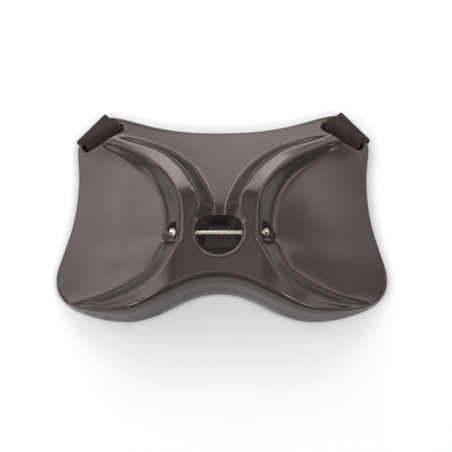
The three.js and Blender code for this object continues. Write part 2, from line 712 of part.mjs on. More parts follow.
// Strap on the right: sewn tail, up through the slot, over the corner bar,
// round the corner and straight in under the plate to the clasp, where it
// turns round the clasp's bar and is sewn back on itself.
function strapRows() {
  const half = STRAP_THICKNESS / 2;
  const inSlot = SLOT_WIDTH / 2 - 2 * GAP - half;
  const tail = 3 * half + 0.4;
  const barTurn = CLASP_BAR_THICKNESS + STRAP_THICKNESS + 2 * GAP;
  const bar = -STRAP_LEG;
  const corner = onSurface(atFold(-7.8, 0.3));
  return [
    atFold(-STRAP_TAIL_END, tail), atFold(-44, tail), atSlot(-3, tail + 0.2), atSlot(1.2, tail + 1.2),
    atSlot(inSlot - 1, tail + 3), atSlot(inSlot, tail + 5.4), onSurface(atSlot(inSlot, -3.2)),
    onSurface(atSlot(inSlot + 0.4, -0.2)), onSurface(atSlot(inSlot + 1.9, 1)),
    ...[0, 0.33, 0.67, 1].map((t) => onSurface(midway(atSlot(inSlot + 4, 0.9), atFold(-11.5, 0.9), t))),
    corner,
    { ...atFold(-4.8, corner.z - 0.3), rise: corner.rise },
    { ...atFold(-2.2, corner.z - 1.9), rise: corner.rise },
    { ...atFold(-half, corner.z - 4.4), rise: corner.rise * 0.6 },
    atFold(-half, 4.6), atFold(-1.6, 2.6),
    atFold(-3.2, 1.4), atFold(-5.4, half),
    atFold(bar + CLASP_BAR + 6, half), atFold(bar - 1.2, half), atFold(bar - 2.6, half + 0.6),
    atFold(bar - 3.4, half + 2), atFold(bar - 3.4, half + barTurn - 2),
    atFold(bar - 2.6, half + barTurn - 0.6), atFold(bar - 1.2, half + barTurn),
    atFold(bar + CLASP_BAR + 4, half + barTurn), atFold(bar + CLASP_BAR + 9, half + barTurn - 1.4),
    atFold(bar + CLASP_BAR + 15, tail + 0.2), atFold(bar + CLASP_BAR + 38, tail + 0.2),
  ];
}

// Clasp halves are drawn with the strap bar at x = 0 and the strap coming from
// negative x. Their outline has its four upright corners cut off.
function claspOutline(end) {
  const half = CLASP_WIDTH / 2;
  const shape = new THREE.Shape([
    [-CLASP_BAR + CLASP_CORNER, -half], [end - CLASP_CORNER, -half], [end, -half + CLASP_CORNER],
    [end, half - CLASP_CORNER], [end - CLASP_CORNER, half], [-CLASP_BAR + CLASP_CORNER, half],
    [-CLASP_BAR, half - CLASP_CORNER], [-CLASP_BAR, -half + CLASP_CORNER],
  ].map(([x, y]) => new THREE.Vector2(x, y)));
  return solidOf(extruded(shape, CLASP_THICKNESS));
}

// Room for the strap round the bar of a clasp half: under it, over it and the
// slot beside it.
function strapRoom() {
  const half = STRAP_WIDTH / 2 + 1;
  const start = -CLASP_BAR - 5;
  const barBottom = STRAP_THICKNESS + GAP;
  const barTop = barBottom + CLASP_BAR_THICKNESS;
  const above = CLASP_THICKNESS + 5;
  return boxBody([start, -half, -1], [0, half, barBottom])
    .add(boxBody([start, -half, barTop], [1, half, above]))
    .add(boxBody([0, -half, -1], [CLASP_SLOT, half, above]));
}

function makeSocket() {
  const end = CLASP_SLOT + SOCKET_LENGTH;
  const half = CLASP_WIDTH / 2 - CLASP_SIDE_RAIL;
  const mouth = boxBody(
    [CLASP_SLOT + MOUTH_BACK, -half, CLASP_COVER], [end + 5, half, CLASP_THICKNESS - CLASP_COVER],
  );
  return claspOutline(end).subtract(strapRoom()).subtract(mouth);
}

function makePlug() {
  const shoulder = CLASP_SLOT + PLUG_SHOULDER;
  const low = (CLASP_THICKNESS - PRONG_THICKNESS) / 2;
  let plug = claspOutline(shoulder).subtract(strapRoom());
  for (const [y, width] of PRONGS) {
    plug = plug.add(boxBody(
      [shoulder - 1, y - width / 2, low], [shoulder + PRONG_LENGTH, y + width / 2, low + PRONG_THICKNESS],
    ));
  }
  return plug;
}

function toMesh(name, solid, material) {
  const { vertProperties, triVerts } = solid.getMesh();
  const geometry = new THREE.BufferGeometry();
  geometry.setAttribute('position', new THREE.Float32BufferAttribute(vertProperties, 3));
  geometry.setIndex(Array.from(triVerts));
  geometry.computeVertexNormals();
  const mesh = new THREE.Mesh(geometry, material);
  mesh.name = name;
  return mesh;
}

// Lays a clasp half at the end of the strap on the given side.
function atStrapEnd(mesh, side) {
  mesh.rotation.z = Math.atan2(-foldOut[1], -foldOut[0] * side);
  mesh.position.set((FOLD_X - foldOut[0] * STRAP_LEG) * side, FOLD_Y - foldOut[1] * STRAP_LEG, 0);
  return mesh;
}

const strap = strip(strapRows(), STRAP_WIDTH, STRAP_THICKNESS);
const group = new THREE.Group();
group.name = 'rod_gimbal_belt_plate';
group.position.y = -FOOTPRINT_CENTRE_Y;
group.add(
  toMesh('plate_shell', makePlate(), plastic),
  toMesh('cross_bolt', makeBolt(), steel),
  toMesh('cross_washer', makeWasher(), steel),
  toMesh('hex_nut', makeNut(), steel),
  toMesh('strap_right', strap, webbing),
  toMesh('strap_left', mirrored(strap), webbing),
  atStrapEnd(toMesh('clasp_socket', makeSocket(), claspPlastic), 1),
  atStrapEnd(toMesh('clasp_plug', makePlug(), claspPlastic), -1),
);
export default group;
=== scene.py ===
"""Rod gimbal belt plate: a moulded plate with a rod cup, a cross bolt through it
and a webbing strap over each top corner. Sizes are millimetres, with the cup's
axis at x = 0, y = 0, and become metres in the mesh. The camera's and the lights'
are metres."""
import math

import bmesh
import bpy
import numpy as np
from mathutils import Matrix


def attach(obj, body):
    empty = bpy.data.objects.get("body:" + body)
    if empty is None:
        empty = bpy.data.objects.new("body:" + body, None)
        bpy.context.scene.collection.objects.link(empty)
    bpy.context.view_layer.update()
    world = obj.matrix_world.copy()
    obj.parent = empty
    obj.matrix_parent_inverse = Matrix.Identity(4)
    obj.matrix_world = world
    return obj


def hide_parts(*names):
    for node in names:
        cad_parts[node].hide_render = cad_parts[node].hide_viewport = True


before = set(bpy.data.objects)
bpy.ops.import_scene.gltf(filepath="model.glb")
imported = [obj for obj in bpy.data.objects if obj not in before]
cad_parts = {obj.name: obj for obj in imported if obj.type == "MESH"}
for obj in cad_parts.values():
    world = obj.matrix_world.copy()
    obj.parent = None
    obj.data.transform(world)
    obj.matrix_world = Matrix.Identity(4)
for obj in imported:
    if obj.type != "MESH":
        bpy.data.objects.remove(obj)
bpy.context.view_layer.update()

MM = 0.001
FOOTPRINT_CENTRE_Y = 36.4
FLOOR_SIZE = 6000.0
PLATE_SHARP_ANGLE = math.radians(38)
STEEL_SHARP_ANGLE = math.radians(28)

# Plate, overall. Its edge rolls over in a quarter ellipse, wider and deeper
# along the lower edge, where the extra dies out between two values of x
HALF_WIDTH = 200.0
CROWN = 14.0
EDGE_HEIGHT = 8.0
EDGE_ROUND = 3.6
LOWER_EDGE_Y = -60
BOTTOM_EXTRA_ROUND = 8.0
BOTTOM_EXTRA_DEPTH = 20.0
BOTTOM_ROUND_X = (105.0, 165.0)
WALL = 3.4
WALL_DRAFT = math.tan(math.radians(8.5))
PLATEAU = 64.0

# How far the wings bulge between foot and rim, and how wide the crests and
# feet are rounded. The feet are tight at the top, from the first y to the second
WING_SWELL = 0.45
CREST_SOFTNESS = 2.1
FOOT_SOFTNESS = 1.0
BROAD_FOOT_SOFTNESS = 5.0
TIGHT_FOOT_Y = (88.0, 116.0)
FOOT_BLEND = 1.6
WING_SHARE_SOFTNESS = 2.0

# Rod cup
CUP_FLOOR = 19.0
CUP_FLOOR_RADIUS = 20.9
CUP_FLOOR_ROUND = 1.6
CUP_FLOOR_RISE = 1.4
CUP_THROAT_RADIUS = 27.3
CUP_THROAT_Z = 58.4
CUP_MOUTH_RADIUS = 34.2
CUP_BEAD_RADIUS = 19.9
CUP_BEAD = 0.7
CUP_WALL = 3.4
CUP_BASE = 5.0
CUP_BASE_CHAMFER = 1.5
CUP_OUTSIDE_RISE = 3.0
# How wide the cup's mouth is rounded into the boss and into the trough, which
# lies beyond this y
MOUTH_EDGE = 0.4
MOUTH_EDGE_AT_TROUGH = 1.6
TROUGH_SIDE_Y = 8

# Cross bolt, its bearing faces and the niches beside the boss
BOLT_Z = 52.7
BOLT_RADIUS = 3.0
BEARING_X = 52.0
BEARING_WALL = 3.4
BOSS_TUBE_RADIUS = 6.8
NICHE_RADIUS = 13.5
NICHE_STRAIGHT_END = 57.5
NICHE_ROUND_DEPTH = 16.5
NICHE_EDGE = 1.4
TRENCH_STEEPNESS = 6
TUBE_STEEPNESS = 8
TUBE_END_STEEPNESS = 20
HOUSING_BLEND = 1.5
UNDERSIDE_BLEND = 1.0
HEX_ACROSS_FLATS = 10.0
HEX_CORNER = 1.13
HEX_CORNER_ROUND = 0.15
HEX_CONE_START = 0.93
HEX_CONE_SLOPE = 1.7
HEX_STEPS = [0, 0.04, 0.1, 0.2, 0.35, 0.6, 1.0]
FLANGE_RADIUS = 6.8
FLANGE_THICKNESS = 1.4
HEAD_THICKNESS = 4.6
WASHER_RADIUS = 4.5
WASHER_THICKNESS = 1.1
WASHER_BORE = 3.4
WASHER_EDGE = 0.25
NUT_THICKNESS = 4.5
NUT_BORE = 3.35
NUT_BORE_MOUTH = 3.9
BOLT_TIP = 0.5
THREAD_START = 40.0
THREAD_PITCH = 1.0
THREAD_DEPTH = 0.45
THREAD_ROWS = 200
BOLT_SIDES = 64

# Strap slots
SLOT_X = 148.4
SLOT_Y = 136.7
SLOT_ANGLE = math.radians(29.5)
SLOT_LENGTH = 56.5
SLOT_WIDTH = 11.4
SLOT_RIM = 3.0
SLOT_RIM_BOTTOM = 5.6
SLOT_CORNER = 4.6
SLOT_END_BOTTOM = 0.8
SLOT_CUT_MARGIN = 1.6
SLOT_CUT_Z = (-30.0, 90.0)
COLLAR_TOP = 0.12
COLLAR_TOP_MARGIN = 2.0
COLLAR_END = 1.2

# Straps
STRAP_WIDTH = 50.0
STRAP_THICKNESS = 2.0
GAP = 0.3
FOLD_X = 165.9
FOLD_Y = 152.3
FOLD_ANGLE = math.radians(45.8)
STRAP_IN_SLOT_SHIFT = 0.9
STRAP_TAIL_END = 68.0
STRAP_LEG = 148.0
CLASP_BAR = 8.0
CLASP_BAR_THICKNESS = 4.0
CLASP_ROUND = 0.7
STRAP_ROW_SPACING = 1.3
STRAP_COLUMNS = 46
STRAP_EDGE_SHARE = 0.35
STRAP_EDGE_POWER = 46
RIB_PITCH = 3.2
RIB_DEPTH = 0.05

# Plan directions outwards from the slot and the fold at the corner, and along them
SLOT_OUT = np.array([math.sin(SLOT_ANGLE), math.cos(SLOT_ANGLE)])
SLOT_ACROSS = np.array([-math.cos(SLOT_ANGLE), math.sin(SLOT_ANGLE)])
FOLD_OUT = np.array([math.sin(FOLD_ANGLE), math.cos(FOLD_ANGLE)])
FOLD_ACROSS = np.array([-math.cos(FOLD_ANGLE), math.sin(FOLD_ANGLE)])

# Outline of the rim, right half, from the bottom middle to the top middle: x, y
OUTLINE = [
    [0, -64.5], [15, -65.7], [30, -69.5], [45, -75.5], [60, -83.5], [75, -90.2], [90, -95],
    [105, -97.4], [120, -96.8], [135, -94.8], [150, -91], [165, -85.8], [178, -79.5],
    [188, -72], [195, -63], [199, -53], [200, -43], [199, -33], [196, -22], [192.5, -11],
    [189, 1], [186, 11], [183.2, 23], [180.8, 36], [179.2, 50], [178.2, 64], [178, 80],
    [179, 97], [180.6, 112], [181.3, 122], [180, 131], [174.5, 139.2], [163.9, 150.3],
    [154, 160.4], [147, 165], [139, 166], [130, 164.3], [118, 161], [105, 156.8],
    [88, 151.5], [70, 147.3], [50, 143.8], [25, 141.6], [0, 141],
]
# Points past the middle line that set the outline's direction there, the
# curve's steps per point and its share that is kept
BEFORE_OUTLINE = [-15, -65.7]
AFTER_OUTLINE = [-25, 141.6]
OUTLINE_STEPS = 50
OUTLINE_KEPT = slice(40, -40)

# Stations along the outer side of the ridge, right half, from the top edge
# past the waist to the lower corner: crest x, y, z, foot x, y, z, rim x, y
STATIONS = [
    [146, 161, 14.5, 153, 155.6, 13.5, 181.3, 122],
    [147, 131.2, 20.6, 148.8, 128.6, 17.8, 180.9, 114],
    [127, 121.3, 26.4, 131, 115.8, 18.6, 180, 104], [105, 109.6, 33, 112, 101.5, 21.5, 178.7, 93],
    [87, 98.8, 39.4, 96, 90, 25.5, 178.1, 84], [73, 86.3, 46.8, 83, 76.8, 30.5, 178, 76],
    [60.5, 69.5, 54.6, 73, 61, 35, 178.2, 65], [54.5, 59, 59.2, 68, 52.6, 38, 178.6, 57],
    [49, 46, 63.6, 64.5, 42, 40.5, 179.7, 46], [46, 34, 67.5, 63, 32, 42.5, 181, 35],
    [44.5, 22, 70, 62.3, 22, 43.5, 183.3, 22.5], [44.5, 8, 64, 62.3, 8, 43.8, 186.6, 9],
    [44.5, -6, 64, 62.5, -6, 44, 190.5, -4], [46, -12, 64, 64.5, -9.5, 44.5, 192.6, -11],
    [50, -17.5, 64, 68, -14, 44.5, 194.4, -16.5], [55, -25.5, 63.6, 72, -20.5, 44.5, 196.6, -23],
    [61.5, -36, 62.6, 76, -29, 43, 199, -32], [68.5, -45.5, 61, 80, -37.5, 41, 200, -39],
    [79, -56, 58.8, 88, -46, 39.5, 200, -44], [92, -65, 55, 99.5, -53.5, 36, 200, -48],
    [107, -72, 50, 112, -60, 32, 199, -52], [121, -76.5, 43.8, 124.5, -65, 28, 198.4, -55],
    [134, -79, 37, 137, -69, 23.5, 197.5, -58], [150, -79.5, 28.4, 152, -71.5, 18.5, 196.3, -60.6],
    [165, -78.5, 20.4, 167, -73, 14.5, 195, -63], [174, -77.5, 15.2, 178.5, -74.5, 13, 193, -66],
]
# Stations along the rod trough, from the top edge to the cup, matched to the
# first of those above: crest x, y, z, foot x, y, middle line y
TROUGH = [
    [132, 160.5, 15, 118, 157, 137], [134, 136, 22.6, 132.2, 138.2, 130.5],
    [112.8, 128, 27.8, 110.4, 131.6, 123], [93.3, 120.2, 33, 89.6, 124.4, 114],
    [76.8, 112.2, 38, 71.2, 117.6, 105], [59, 98.8, 44, 50.4, 105, 94.5],
    [44.8, 81.8, 52.2, 32.2, 88.8, 82.5], [39.2, 71.2, 56.2, 24.6, 78.6, 73.5],
    [32.6, 57.9, 61.2, 16.4, 63.6, 61.5],
    [26.2, 44.8, 65.4, 10, 47.4, 46], [24.4, 33, 69, 6.8, 33, 33], [31.5, 12, 70, 9, 12, 12],
]
# Rim points that end the columns at the top edge, the lower corner, the lower
# arm and under the cup: x, y
TOP_RIM = [
    [0, 141], [40, 142.6], [80, 149.3], [118, 161], [125.5, 163.2], [132, 164.8], [139, 166],
    [146, 165.4], [155.5, 159], [163.9, 150.3], [170, 144], [175.5, 138], [180, 131], [181.3, 122],
]
CORNER_RIM = [
    [193, -66], [190.8, -69], [188.4, -71.6], [186, -73.9], [183.5, -76], [181, -77.7], [176, -80.6],
]
LOWER_RIM = [
    [66, -86.3], [79, -91.7], [92, -95.5], [106, -97.4], [120, -96.8],
    [134, -95], [150, -91], [165, -85.8], [176, -80.6],
]
CUP_RIM = [
    [0, -64.5], [9, -65], [18, -66.2], [28, -68.9], [38, -72.4], [48, -77], [57, -81.8], [66, -86.3],
]
# Stations where the boss and the lower arm begin, curve steps per station,
# cells across each block, finer columns per cell of the wing and the stations
# over which a block's end is bent to the rim
WAIST_STATION = 11
LEG_STATION = 17
STEPS = 8
PANEL_CELLS = 3
WALL_CELLS = 2
ARM_CELLS = 2
WING_CELLS = 5
LEG_CELLS = 2
WING_COLUMNS = 6
BEND_STATIONS = 2
# How far each block's own unevenness is levelled: wing, flank, trough, its
# wall, upper arm, boss, lower arm. The first two make up the wing's side
BLOCK_LEVELLING = [9.0, 2.5, 6.0, 2.5, 4.0, 4.0, 3.0]
WING_BLOCKS = 2

# Height of the ridge top along the lower arms: |x|, z
LOWER_TOP = [
    [0, 64], [50, 64], [57, 63.2], [67, 61.4], [79, 58.8], [92, 55], [106, 50.2], [121, 43.8],
    [135, 36.6], [150, 28.4], [162, 21.8], [175, 15.2], [187, 10], [215, 2],
]
# The trough's floor: height at the cup, where its slope begins, and the slope
TROUGH_Z = 46.0
TROUGH_START_Y = 32.0
TROUGH_SLOPE = 0.2285

# Height map of the front: cell size, its lowest x and y, cells both ways, the
# spacing in cells of the points that fill it, and a height above everything
# for the cells outside the plate
CELL = 0.5
MAP_LOW = np.array([-14.0, -112.0])
MAP_SIZE = (460, 590)
POINT_SPACING = 0.55
NO_PLATE = 200

# Spokes of the plate's grid, right half: angle where a stretch ends, spacing
SPOKES = [
    [-52, 1.0], [-21, 0.45], [-12.5, 0.7], [12.5, 0.5], [34, 1.2], [60, 0.45], [80, 0.7], [90, 1.2],
]
# Rings round the cup, as radii, and round the niches, as distances from the
# axis that the grid straightens beside the bearing faces
CUP_RINGS = [
    7, 13, 17.5, 19.1, 19.4, 19.65, 19.9, 20.15, 20.4, 20.65, 20.9, 21.5, 22.3, 23.1, 23.9, 24.6,
    25.2, 25.8, 26.4, 27, 27.3, 27.45, 27.8, 28.4, 29.2, 30.2, 31.3, 32.4, 33.4, 34.1,
]
NICHE_RINGS = [
    35.1, 36.4, 38, 40, 42, 44, 46, 48, 49.5, 50.7, 51.3, 51.7, 52, 52.2, 52.5, 53, 54, 55.2, 56.6, 58,
    59.5, 61, 62.5, 64, 65.5, 66.8, 67.8, 68.6, 69.2, 69.8, 70.6,
]
# The niche rings end at this radius, or at a share of the edge's radius where
# that is nearer. Straight ones lie within these degrees of the bolt's axis,
# and the straightening grows and dies out between these radii
NICHE_REACH = 72.0
NICHE_REACH_SHARE = 0.8
NICHE_REACH_BLEND = 14
STRAIGHT_TURNS = (12, 20)
STRAIGHT_GROWS = (40, 50)
STRAIGHT_FADES = (62, 90)
OUTER_RINGS = 54
OUTER_RING_SHARE = 0.4
OUTER_RING_POWER = 1.6
EDGE_TURNS = [15, 30, 45, 60, 75, 90]
WALL_SHARES = [0.33, 0.66]
# Section of the rim's underside: distance in from the wall's foot, height above it
RIM_SECTION = [(0, 0.7), (0.25, 0.2), (0.8, 0), (WALL - 0.8, 0), (WALL - 0.2, 0.3)]
# Inside of the wall: shares of the way up, height of its foot above the rim,
# depth of its top under the ceiling and width to the ceiling's first ring
INNER_WALL_SHARES = [0, 0.4, 0.8]
INNER_WALL_FOOT = 0.9
INNER_WALL_TOP = 0.4
INNER_WALL_EXTRA = 0.5
CEILING_INSET = 1.2
BACK_RINGS = 16
BACK_NICHE_RINGS = [68, 64, 60, 56, 53, 50.5, 49, 48.4, 46, 42, 38, 34]
BACK_CUP_RINGS = [32, 31, 30.4, 29.4, 28, 26.6, 25.2, 24.4, 24, 23.2, 22.6, 17, 9]


def place(points):
    """Plan millimetres to metres in the shared frame."""
    return (np.asarray(points, float) - [0, FOOTPRINT_CENTRE_Y, 0]) * MM


def add_object(name, data):
    """New object in the scene."""
    added = bpy.data.objects.new(name, data)
    bpy.context.scene.collection.objects.link(added)
    return added


def make_object(name, points, faces, slot, coat):
    """Smooth mesh object from points in plan millimetres and faces. One without a slot is no piece."""
    mesh = bpy.data.meshes.new(name)
    mesh.from_pydata(place(points).tolist(), [], faces)
    mesh.polygons.foreach_set("use_smooth", np.full(len(mesh.polygons), True))
    mesh.materials.append(coat)
    mesh.update()
    piece = add_object(name, mesh)
    if slot:
        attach(piece, "root")
    return piece


def grid_faces(count, columns, looped=False):
    """Quads between neighbouring rows of a grid whose last column meets its first. If it is looped, its
    last row meets its first as well."""
    row = np.arange(count if looped else count - 1)[:, None] * columns
    next_row = (row + columns) % (count * columns)
    here = np.arange(columns)
    after = (here + 1) % columns
    quads = np.stack([row + here, next_row + here, next_row + after, row + after], -1)
    return quads.reshape(-1, 4)


def closed_loop(rows):
    """Points and faces of rings that follow a closed profile, the last meeting the first."""
    return rows.reshape(-1, 3), grid_faces(*rows.shape[:2], looped=True).tolist()


def closed_rings(rows, first_pole, last_pole):
    """Points and faces of rings that close on a point at each end."""
    count, columns = rows.shape[:2]
    points = np.concatenate([rows.reshape(-1, 3), [first_pole, last_pole]])
    here = np.arange(columns)
    after = (here + 1) % columns
    last = (count - 1) * columns
    fan = np.stack([np.full(columns, count * columns), here, after], -1)
    cap = np.stack([np.full(columns, count * columns + 1), last + after, last + here], -1)
    return points, grid_faces(count, columns).tolist() + fan.tolist() + cap.tolist()


def spline_rows(rows, steps):
    """Rows between rows: each column is a uniform Catmull-Rom curve through its values."""
    rows = np.asarray(rows, float)
    last = len(rows) - 1
    i = np.arange(last)
    around = (np.maximum(i - 1, 0), i, i + 1, np.minimum(i + 2, last))
    a, b, c, d = (rows[k][:, None] for k in around)
    t = (np.arange(steps) / steps)[:, None]
    curve = 0.5 * (2 * b + (c - a) * t + (2 * a - 5 * b + 4 * c - d) * t**2
                   + (3 * b - a - 3 * c + d) * t**3)
    return np.concatenate([curve.reshape(-1, rows.shape[1]), rows[-1:]])


def even_spline(rows, steps, places=3):
    """Centripetal Catmull-Rom curve through rows, spaced by their first columns as places."""
    rows = np.asarray(rows, float)
    ends = np.concatenate([[2 * rows[0] - rows[1]], rows, [2 * rows[-1] - rows[-2]]])
    span = np.sqrt(np.maximum(np.linalg.norm(np.diff(ends[:, :places], axis=0), axis=1), 1e-6))[:, None]
    p0, p1, p2, p3 = ends[:-3], ends[1:-2], ends[2:-1], ends[3:]
    d0, d1, d2 = span[:-2], span[1:-1], span[2:]
    m1 = ((p1 - p0) / d0 - (p2 - p0) / (d0 + d1) + (p2 - p1) / d1) * d1
    m2 = ((p2 - p1) / d1 - (p3 - p1) / (d1 + d2) + (p3 - p2) / d2) * d1
    t = (np.arange(steps) / steps)[:, None]
    p1, p2, m1, m2 = (q[:, None] for q in (p1, p2, m1, m2))
    curve = p1 + m1 * t + (3 * (p2 - p1) - 2 * m1 - m2) * t**2 + (2 * (p1 - p2) + m1 + m2) * t**3
    return np.concatenate([curve.reshape(-1, rows.shape[1]), rows[-1:]])


def smooth_step(a, b, v):
    """0 before a, 1 after b and an S-curve between."""
    t = np.clip((v - a) / (b - a), 0, 1)
    return t * t * (3 - 2 * t)


def soft_min(a, b, k):
    """The lower of two heights, rounded over where they are within k of each other."""
    h = np.maximum(k - np.abs(a - b), 0) / k
    return np.minimum(a, b) - h * h * k / 4


def panel_height(y):
    """Height of the trough's floor: level beside the cup, then falling evenly to the top edge."""
    return TROUGH_Z - TROUGH_SLOPE * np.maximum(y - TROUGH_START_Y, 0)


def rim_height(x):
    """Height of the rim's underside: a parabola that meets the floor at the two sides."""
    return CROWN * (1 - (x / HALF_WIDTH) ** 2)


lower_top_curve = spline_rows(LOWER_TOP, 12)


def lower_top(x):
    """Height of the boss and the lower arms, which depends on x alone."""
    return np.minimum(np.interp(x, lower_top_curve[:, 0], lower_top_curve[:, 1]), PLATEAU)


class Rim:
    """The plate's outline, right half, and at each of its points the inward direction, the edge's top
    height, the width and depth of its round, the wall's lean and the point where the round starts."""

    curve = even_spline([BEFORE_OUTLINE] + OUTLINE + [AFTER_OUTLINE], OUTLINE_STEPS, places=2)
    way = np.gradient(curve, axis=0)
    way /= np.linalg.norm(way, axis=1)[:, None]
    x, y = curve.T
    in_x, in_y = -way[:, 1], way[:, 0]
    top = np.maximum(rim_height(x) + EDGE_HEIGHT, np.where(y < LOWER_EDGE_Y, lower_top(x), 0))
    below = (1 - smooth_step(*BOTTOM_ROUND_X, x)) * (y < LOWER_EDGE_Y)
    width = EDGE_ROUND + BOTTOM_EXTRA_ROUND * below
    depth = EDGE_ROUND + BOTTOM_EXTRA_DEPTH * below
    wall = (top - depth - rim_height(x)) * WALL_DRAFT
    edge = np.stack([x + in_x * (wall + width), y + in_y * (wall + width), top], -1)


def edge_at(plan):
    """Point of the rounded edge's upper end that belongs to the nearest outline point."""
    plan = np.atleast_2d(np.asarray(plan, float))[:, :2]
    nearest = np.argmin(((plan[:, None, :] - Rim.curve[None]) ** 2).sum(-1), axis=1)
    found = Rim.edge[nearest].copy()
    found[plan[:, 0] == 0, 0] = 0
    return found


def at_spokes(spokes, plan, values):
    """Values along a curve round the axis, read where the curve crosses the spokes."""
    turns = np.degrees(np.arctan2(plan[:, 1], plan[:, 0]))
    return np.interp(spokes, turns[OUTLINE_KEPT], values[OUTLINE_KEPT])


def between(p, q, cells):
    """Points in equal steps from p to q, as a new axis before the last."""
    t = np.linspace(0, 1, cells + 1)[:, None]
    return p[..., None, :] + (q - p)[..., None, :] * t


def bend_to(rows, end):
    """Moves the first rows so that the first meets the given points; the shift dies out."""
    reach = BEND_STATIONS * STEPS
    shift = end - rows[0]
    fade = 1 - smooth_step(0, reach, np.arange(reach))
    rows[:reach, 1:-1] += shift[None, 1:-1] * fade[:, None, None]
    rows[0] = end


def front_blocks():
    """Front of the right half as blocks of rows of points: the wing, the flank, the upper arm with the
    trough, the boss as a patch between four borders, and the lower arm. Rows are ruled between curves."""
    columns = PANEL_CELLS + WALL_CELLS + ARM_CELLS
    top = edge_at(TOP_RIM)
    corner = edge_at(CORNER_RIM)
    bottom = edge_at(CUP_RIM)
    lower = edge_at(spline_rows(LOWER_RIM, STEPS))
    stations = spline_rows(STATIONS, STEPS)
    crest = stations[:, 0:3].copy()
    crest[:, 2] = np.minimum(crest[:, 2], PLATEAU)
    foot = stations[:, 3:6].copy()
    crest[0], foot[0] = top[columns], top[columns + 1]
    foot[-1], crest[-1] = corner[WING_CELLS], corner[WING_CELLS + 1]

    cells = WING_CELLS * WING_COLUMNS
    wing = between(foot, edge_at(stations[:, 6:8]), cells)
    u = np.linspace(0, 1, cells + 1)
    fall = u + WING_SWELL / math.pi * np.sin(math.pi * u)
    wing[:, :, 2] = foot[:, None, 2] + (wing[:, -1:, 2] - foot[:, None, 2]) * fall
    bend_to(wing, edge_at(spline_rows(TOP_RIM[columns + 1:], WING_COLUMNS)))
    bend_to(wing[::-1], edge_at(spline_rows(CORNER_RIM[:WING_CELLS + 1], WING_COLUMNS))[::-1])
    flank = np.stack([crest, foot], 1)

    rows = spline_rows(TROUGH, STEPS)
    ridge = rows[:, 0:3].copy()
    ridge[:, 2] = np.minimum(ridge[:, 2], PLATEAU)
    middle = np.stack([0 * rows[:, 5], rows[:, 5], 0 * rows[:, 5]], -1)
    panel_edge = np.stack([rows[:, 3], rows[:, 4], 0 * rows[:, 5]], -1)
    panel = between(middle, panel_edge, PANEL_CELLS)
    panel[:, :, 2] = panel_height(panel[:, :, 1])
    wall = between(panel[:, -1], ridge, WALL_CELLS)[:, 1:]
    arm = between(ridge, crest[:len(rows)], ARM_CELLS)[:, 1:]
    upper = np.concatenate([panel, wall, arm], 1)
    bend_to(upper, top[:columns + 1])
    wall_end = PANEL_CELLS + WALL_CELLS
    panel, wall, arm = upper[:, :PANEL_CELLS + 1], upper[:, PANEL_CELLS:wall_end + 1], upper[:, wall_end:]

    waist, leg_start = WAIST_STATION * STEPS, LEG_STATION * STEPS
    start = upper[-1]
    end = bottom[:columns + 1]
    to_rim = between(crest[leg_start], end[-1], LEG_CELLS)[1:]
    right = np.concatenate([crest[waist:leg_start + 1], to_rim])
    left = between(start[0], end[0], len(right) - 1)
    u = np.linspace(0, 1, columns + 1)[None, :, None]
    v = np.linspace(0, 1, len(right))[:, None, None]
    boss = ((1 - u) * left[:, None] + u * right[:, None] + (1 - v) * start[None] + v * end[None]
            - (1 - u) * (1 - v) * left[0] - u * (1 - v) * right[0]
            - (1 - u) * v * end[0] - u * v * right[-1])
    boss[:, :, 2] = lower_top(boss[:, :, 0])
    boss[0], boss[-1], boss[:, -1] = start, end, right
    leg = between(crest[leg_start:leg_start + len(lower)], lower, LEG_CELLS)
    return [wing, flank, panel, wall, arm, boss, leg]


def fill_map(block):
    """Mean height in each cell of the map, from points spread evenly over a block, and the cells met."""
    count = np.zeros(MAP_SIZE)
    total = np.zeros(MAP_SIZE)
    fine = block
    for axis in (0, 1):
        gap = np.linalg.norm(np.diff(fine, axis=axis)[..., :2], axis=-1).max()
        steps = int(np.ceil(gap / (POINT_SPACING * CELL)))
        n = fine.shape[axis]
        at = np.linspace(0, n - 1, (n - 1) * steps + 1)
        low = np.minimum(at.astype(int), n - 2)
        t = (at - low)[:, None, None] if axis == 0 else (at - low)[None, :, None]
        fine = np.take(fine, low, axis) * (1 - t) + np.take(fine, low + 1, axis) * t
    for side in (1, -1):
        cell = ((fine[..., :2] * [side, 1] - MAP_LOW) / CELL).astype(int)
        ok = ((cell >= 0) & (cell < MAP_SIZE)).all(-1) & (fine[..., 0] * side > MAP_LOW[0])
        flat = cell[ok][:, 0] * MAP_SIZE[1] + cell[ok][:, 1]
        count += np.bincount(flat, minlength=count.size).reshape(MAP_SIZE)
        total += np.bincount(flat, fine[..., 2][ok], count.size).reshape(MAP_SIZE)
    return np.where(count > 0, total / np.maximum(count, 1), 0), count > 0


